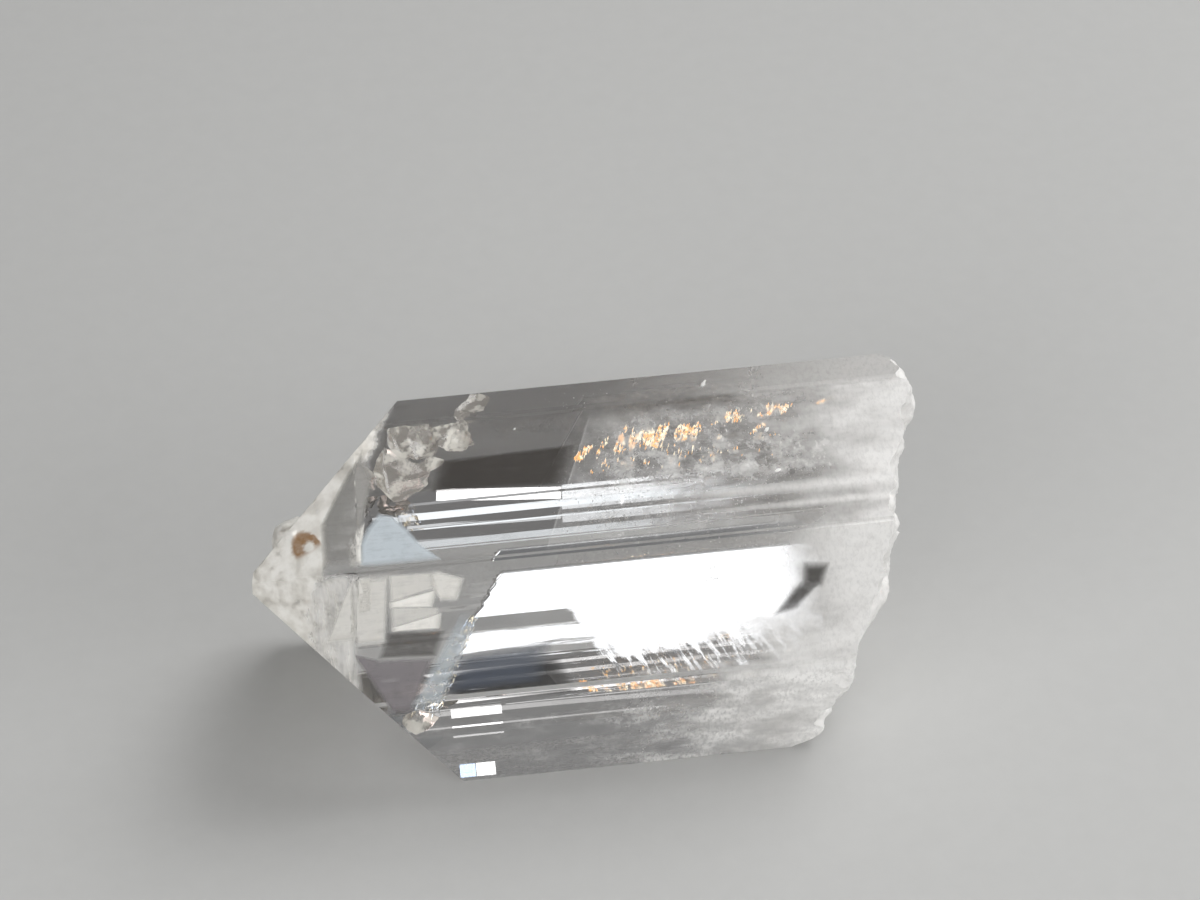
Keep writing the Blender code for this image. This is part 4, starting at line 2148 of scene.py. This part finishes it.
@dataclass
class Dust(Inclusion):
    """A few pale specks stuck to the front faces."""

    # Each speck: along, across from the front edge, half width and half height.
    specks: tuple[tuple[float, float, float, float], ...] = (
        (20.7, 6.75, 0.10, 0.22),
        (23.2, 4.45, 0.09, 0.12),
        (23.4, 2.6, 0.12, 0.09),
        (12.1, 5.6, 0.05, 0.05),
        (17.0, -7.4, 0.05, 0.06),
    )
    half_depth: float = 0.05
    lean: float = 0.5
    relief: float = 0.45
    relief_size: float = 1.4

    def build(self) -> bpy.types.Object:
        """Makes the specks as small rough lumps.

        Returns:
            The specks as one object.
        """
        mesh = bmesh.new()
        edge = self.bounds.prism.front_edge()[0]
        for along, off_edge, width, height in self.specks:
            first = len(mesh.verts)
            bmesh.ops.create_icosphere(mesh, subdivisions=3, radius=1.0)
            mesh.verts.ensure_lookup_table()
            centre = self.bounds.on_surface(along, edge + off_edge)
            for vert in mesh.verts[first:]:
                where = vert.co * self.relief_size + centre
                swell = 1 + self.relief * noise.fractal(where, 0.9, 2.1, 3)
                rise = vert.co.y * height
                offset = (vert.co.x * width + self.lean * rise, rise)
                ahead = self.half_depth * vert.co.z
                vert.co = centre + place(*(swell * part for part in offset), ahead)
        bmesh.ops.recalc_face_normals(mesh, faces=mesh.faces)
        return self.seat(link(mesh, self.name))


# Studio --------------------------------------------------------------------------------


WHITE: Colour = (1.0, 1.0, 1.0)
COOL: Colour = (0.93, 0.97, 1.0)
COLD: Colour = (0.90, 0.96, 1.0)
BLUE: Colour = (0.55, 0.72, 1.0)
# Watts for each square metre that make a light's own surface look white.
POWER_OF_WHITE = 4.0
# How far the lights stand from the crystal, in metres.
LIGHT_DISTANCE = 0.30


@dataclass(frozen=True)
class Softbox:
    """A rectangular studio light that faces the crystal, sized in metres."""

    name: str
    azimuth: float
    elevation: float
    width: float
    height: float
    brightness: float
    distance: float = LIGHT_DISTANCE

    def build(self, target: Vector) -> bpy.types.Object:
        """Places the light.

        Args:
            target: What it faces, in metres.

        Returns:
            The light.
        """
        out = direction(self.azimuth, self.elevation)
        turn = out.to_track_quat("Z", "Y").to_matrix()
        return area_light(
            self.name, target + self.distance * out, turn, (self.width, self.height),
            self.brightness,
        )


@dataclass(frozen=True)
class StripLight:
    """A thin light parallel to the crystal, which its long faces mirror as a bright line."""

    name: str
    # Degrees above the level in front of the crystal, at the middle, and how many it covers.
    rise: float
    cover: float
    # Its two ends, in millimetres towards the base from the middle of the crystal.
    ends: Pair
    brightness: float
    slant: float = 0.0
    colour: Colour = WHITE
    distance: float = LIGHT_DISTANCE

    def build(self, target: Vector) -> bpy.types.Object:
        """Places the light.

        Args:
            target: The point, in metres, whose long axis it faces.

        Returns:
            The light.
        """
        out = direction(0, self.rise)
        middle = target + self.distance * out + Vector((sum(self.ends) / 2 * MM, 0, 0))
        turn = out.to_track_quat("Z", "Y").to_matrix() @ Matrix.Rotation(
            math.radians(self.slant), 3, "Z"
        )
        size = (
            (self.ends[1] - self.ends[0]) * MM,
            self.distance * math.tan(math.radians(self.cover)),
        )
        return area_light(self.name, middle, turn, size, self.brightness, self.colour)


def area_light(
    name: str,
    middle: Vector,
    turn: Matrix,
    size: Pair,
    brightness: float,
    colour: Colour = WHITE,
) -> bpy.types.Object:
    """Makes one rectangular light.

    Args:
        name: The object's name.
        middle: Its middle, in metres.
        turn: Its rotation, where it shines along its own -Z.
        size: Width and height in metres.
        brightness: How bright its surface looks, where 1 is white.
        colour: Its colour.

    Returns:
        The light.
    """
    data = bpy.data.lights.new(name, "AREA")
    data.shape = "RECTANGLE"
    data.size, data.size_y = size
    data.energy = POWER_OF_WHITE * brightness * size[0] * size[1]
    data.color = colour
    lamp = show(name, data)
    lamp.matrix_world = Matrix.Translation(middle) @ turn.to_4x4()
    return lamp


def direction(azimuth: float, elevation: float) -> Vector:
    """Unit vector from the crystal, where azimuth 0 faces -Y and 90 faces +X."""
    az, el = math.radians(azimuth), math.radians(elevation)
    return Vector((math.sin(az) * math.cos(el), -math.cos(az) * math.cos(el), math.sin(el)))


@dataclass
class Studio:
    """The pale floor, the lights and the even light around them."""

    target: Vector = field(default_factory=lambda: Vector((0.0, 0.0, 0.007)))
    floor_half: float = 0.5
    floor_gap: float = 0.03 * MM
    surround: float = 0.18
    boxes: tuple[Softbox | StripLight, ...] = (
        Softbox("key_box", 120, 55, 0.20, 0.18, 3.7),
        Softbox("left_fill", -42, 25, 0.22, 0.16, 2.2),
        Softbox("right_fill", 50, 23, 0.22, 0.16, 2.5),
        StripLight("crack_panel", 44.1, 11.6, (-100, 100), 1.35),
        StripLight("white_bar", 50.73, 0.30, (1.7, 16.3), 1.5, 7.3),
        StripLight("upper_glow", 51.17, 0.36, (16.3, 62), 0.95, 3.6, COOL),
        StripLight("upper_line", 51.10, 0.10, (-2, 16), 0.50, 3.6, COOL),
        StripLight("upper_dim", 51.52, 0.24, (-6, 16), 0.22, 3.6, COOL),
        StripLight("upper_far", 51.52, 0.24, (16.1, 62), 0.60, 3.6, COOL),
        StripLight("middle_line", 33.29, 0.46, (-6, 62), 0.85, 1.4, COLD),
        StripLight("middle_dim", 21.23, 0.26, (-6, 62), 0.50, 0.0, COLD),
        StripLight("lower_first", 52.95, 0.07, (-8, 62), 0.60, -1.25),
        StripLight("lower_second", 53.18, 0.10, (-8, 62), 0.55, -1.25),
        StripLight("lower_third", 53.40, 0.06, (-8, 62), 0.50, -1.25),
        StripLight("lower_edge", 53.60, 0.14, (-2, 32), 1.2, -1.25),
        StripLight("lower_high", 77.33, 0.24, (-8, 62), 0.5),
        StripLight("foot_line", 37.02, 0.10, (-8, 62), 0.30, -1.25),
        StripLight("foot_patch", 37.12, 0.22, (0.9, 6.8), 1.3, -1.25),
        StripLight("foot_glint_blue", 145.33, 0.28, (1.2, 3.0), 1.4, 0.0, BLUE),
        StripLight("foot_glint", 145.33, 0.28, (3.1, 5.3), 1.4),
    )

    def build(self) -> None:
        """Makes the floor, the lights and the surround."""
        mesh = bmesh.new()
        bmesh.ops.create_grid(mesh, x_segments=1, y_segments=1, size=self.floor_half)
        bmesh.ops.translate(mesh, verts=mesh.verts, vec=(0.0, 0.0, -self.floor_gap))
        floor = link(mesh, "floor")
        floor.data.materials.append(FloorFinish().material())
        for box in self.boxes:
            box.build(self.target)
        world = bpy.data.worlds.new("surround")
        world.use_nodes = True
        sky = world.node_tree.nodes["Background"]
        sky.inputs["Color"].default_value = (*WHITE, 1.0)
        sky.inputs["Strength"].default_value = self.surround
        bpy.context.scene.world = world
        LOG.info("studio: %d lights", len(self.boxes))


@dataclass
class ViewCamera:
    """The camera, looking down at the front edge with the tip to the left."""

    azimuth: float = -5.0
    elevation: float = 41.373
    roll: float = 2.334
    distance: float = 0.200
    aim_right: float = 0.000229
    aim_up: float = 0.010964
    focal_mm: float = 129.82
    sensor_mm: float = 36.0
    clip: Pair = (0.001, 10.0)

    def build(self) -> bpy.types.Object:
        """Places the camera and makes it the scene's own.

        Returns:
            The camera.
        """
        out = direction(self.azimuth, self.elevation)
        level = Vector((0, 0, 1)).cross(out).normalized()
        upward = out.cross(level)
        turn = math.radians(self.roll)
        right = math.cos(turn) * level - math.sin(turn) * upward
        top = math.sin(turn) * level + math.cos(turn) * upward
        data = bpy.data.cameras.new("view_camera")
        data.lens, data.sensor_width = self.focal_mm, self.sensor_mm
        data.clip_start, data.clip_end = self.clip
        camera = show("view_camera", data)
        aim = self.aim_right * right + self.aim_up * top
        spot = aim + self.distance * out
        camera.matrix_world = Matrix(
            [(right[i], top[i], out[i], spot[i]) for i in range(3)] + [(0, 0, 0, 1)]
        )
        bpy.context.scene.camera = camera
        return camera


@dataclass(frozen=True)
class LightPaths:
    """How far light is followed through the many faces of the crystal."""

    most: int = 9
    through_glass: int = 9
    mirrored: int = 7
    scattered: int = 3
    through_films: int = 8
    brightest_bounce: float = 8.0
    noise_left: float = 0.05

    def apply(self) -> None:
        """Sets them on the scene."""
        cycles = bpy.context.scene.cycles
        cycles.max_bounces = self.most
        cycles.transmission_bounces = self.through_glass
        cycles.glossy_bounces = self.mirrored
        cycles.diffuse_bounces = self.scattered
        cycles.transparent_max_bounces = self.through_films
        cycles.caustics_reflective = True
        cycles.caustics_refractive = True
        cycles.sample_clamp_indirect = self.brightest_bounce
        cycles.adaptive_threshold = self.noise_left
        bpy.context.scene.view_settings.view_transform = "Standard"


def main() -> None:
    """Builds the pieces in order and reports each."""
    logging.basicConfig(level=logging.INFO, format="%(name)s: %(message)s")
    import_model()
    ViewCamera().build()
    Studio().build()
    LightPaths().apply()
    pieces = (
        CrystalBody(),
        CrackSheet("front_crack", CrackFinish()),
        # The splinters carry a faint painted glow that stands in for their glints.
        CrackFront("crack_front", SparkleFinish("pale_splinters", (0.80, 0.88, 1.0), glow=0.05)),
        SparkleVeil("sparkle_veil", SparkleFinish()),
        MilkyVeils("milky_veils", VeilFinish()),
        # Films of painted highlights, reflections and shade over the front faces.
        PaintedSheen("inner_sheen", PaintedSheenFinish()),
        Dust("dust", VeilFinish(name="pale_dust")),
    )
    for piece in pieces:
        thing = piece.build()
        LOG.info("%s: %d faces", thing.name, len(thing.data.polygons))


if __name__ == "__main__":
    main()
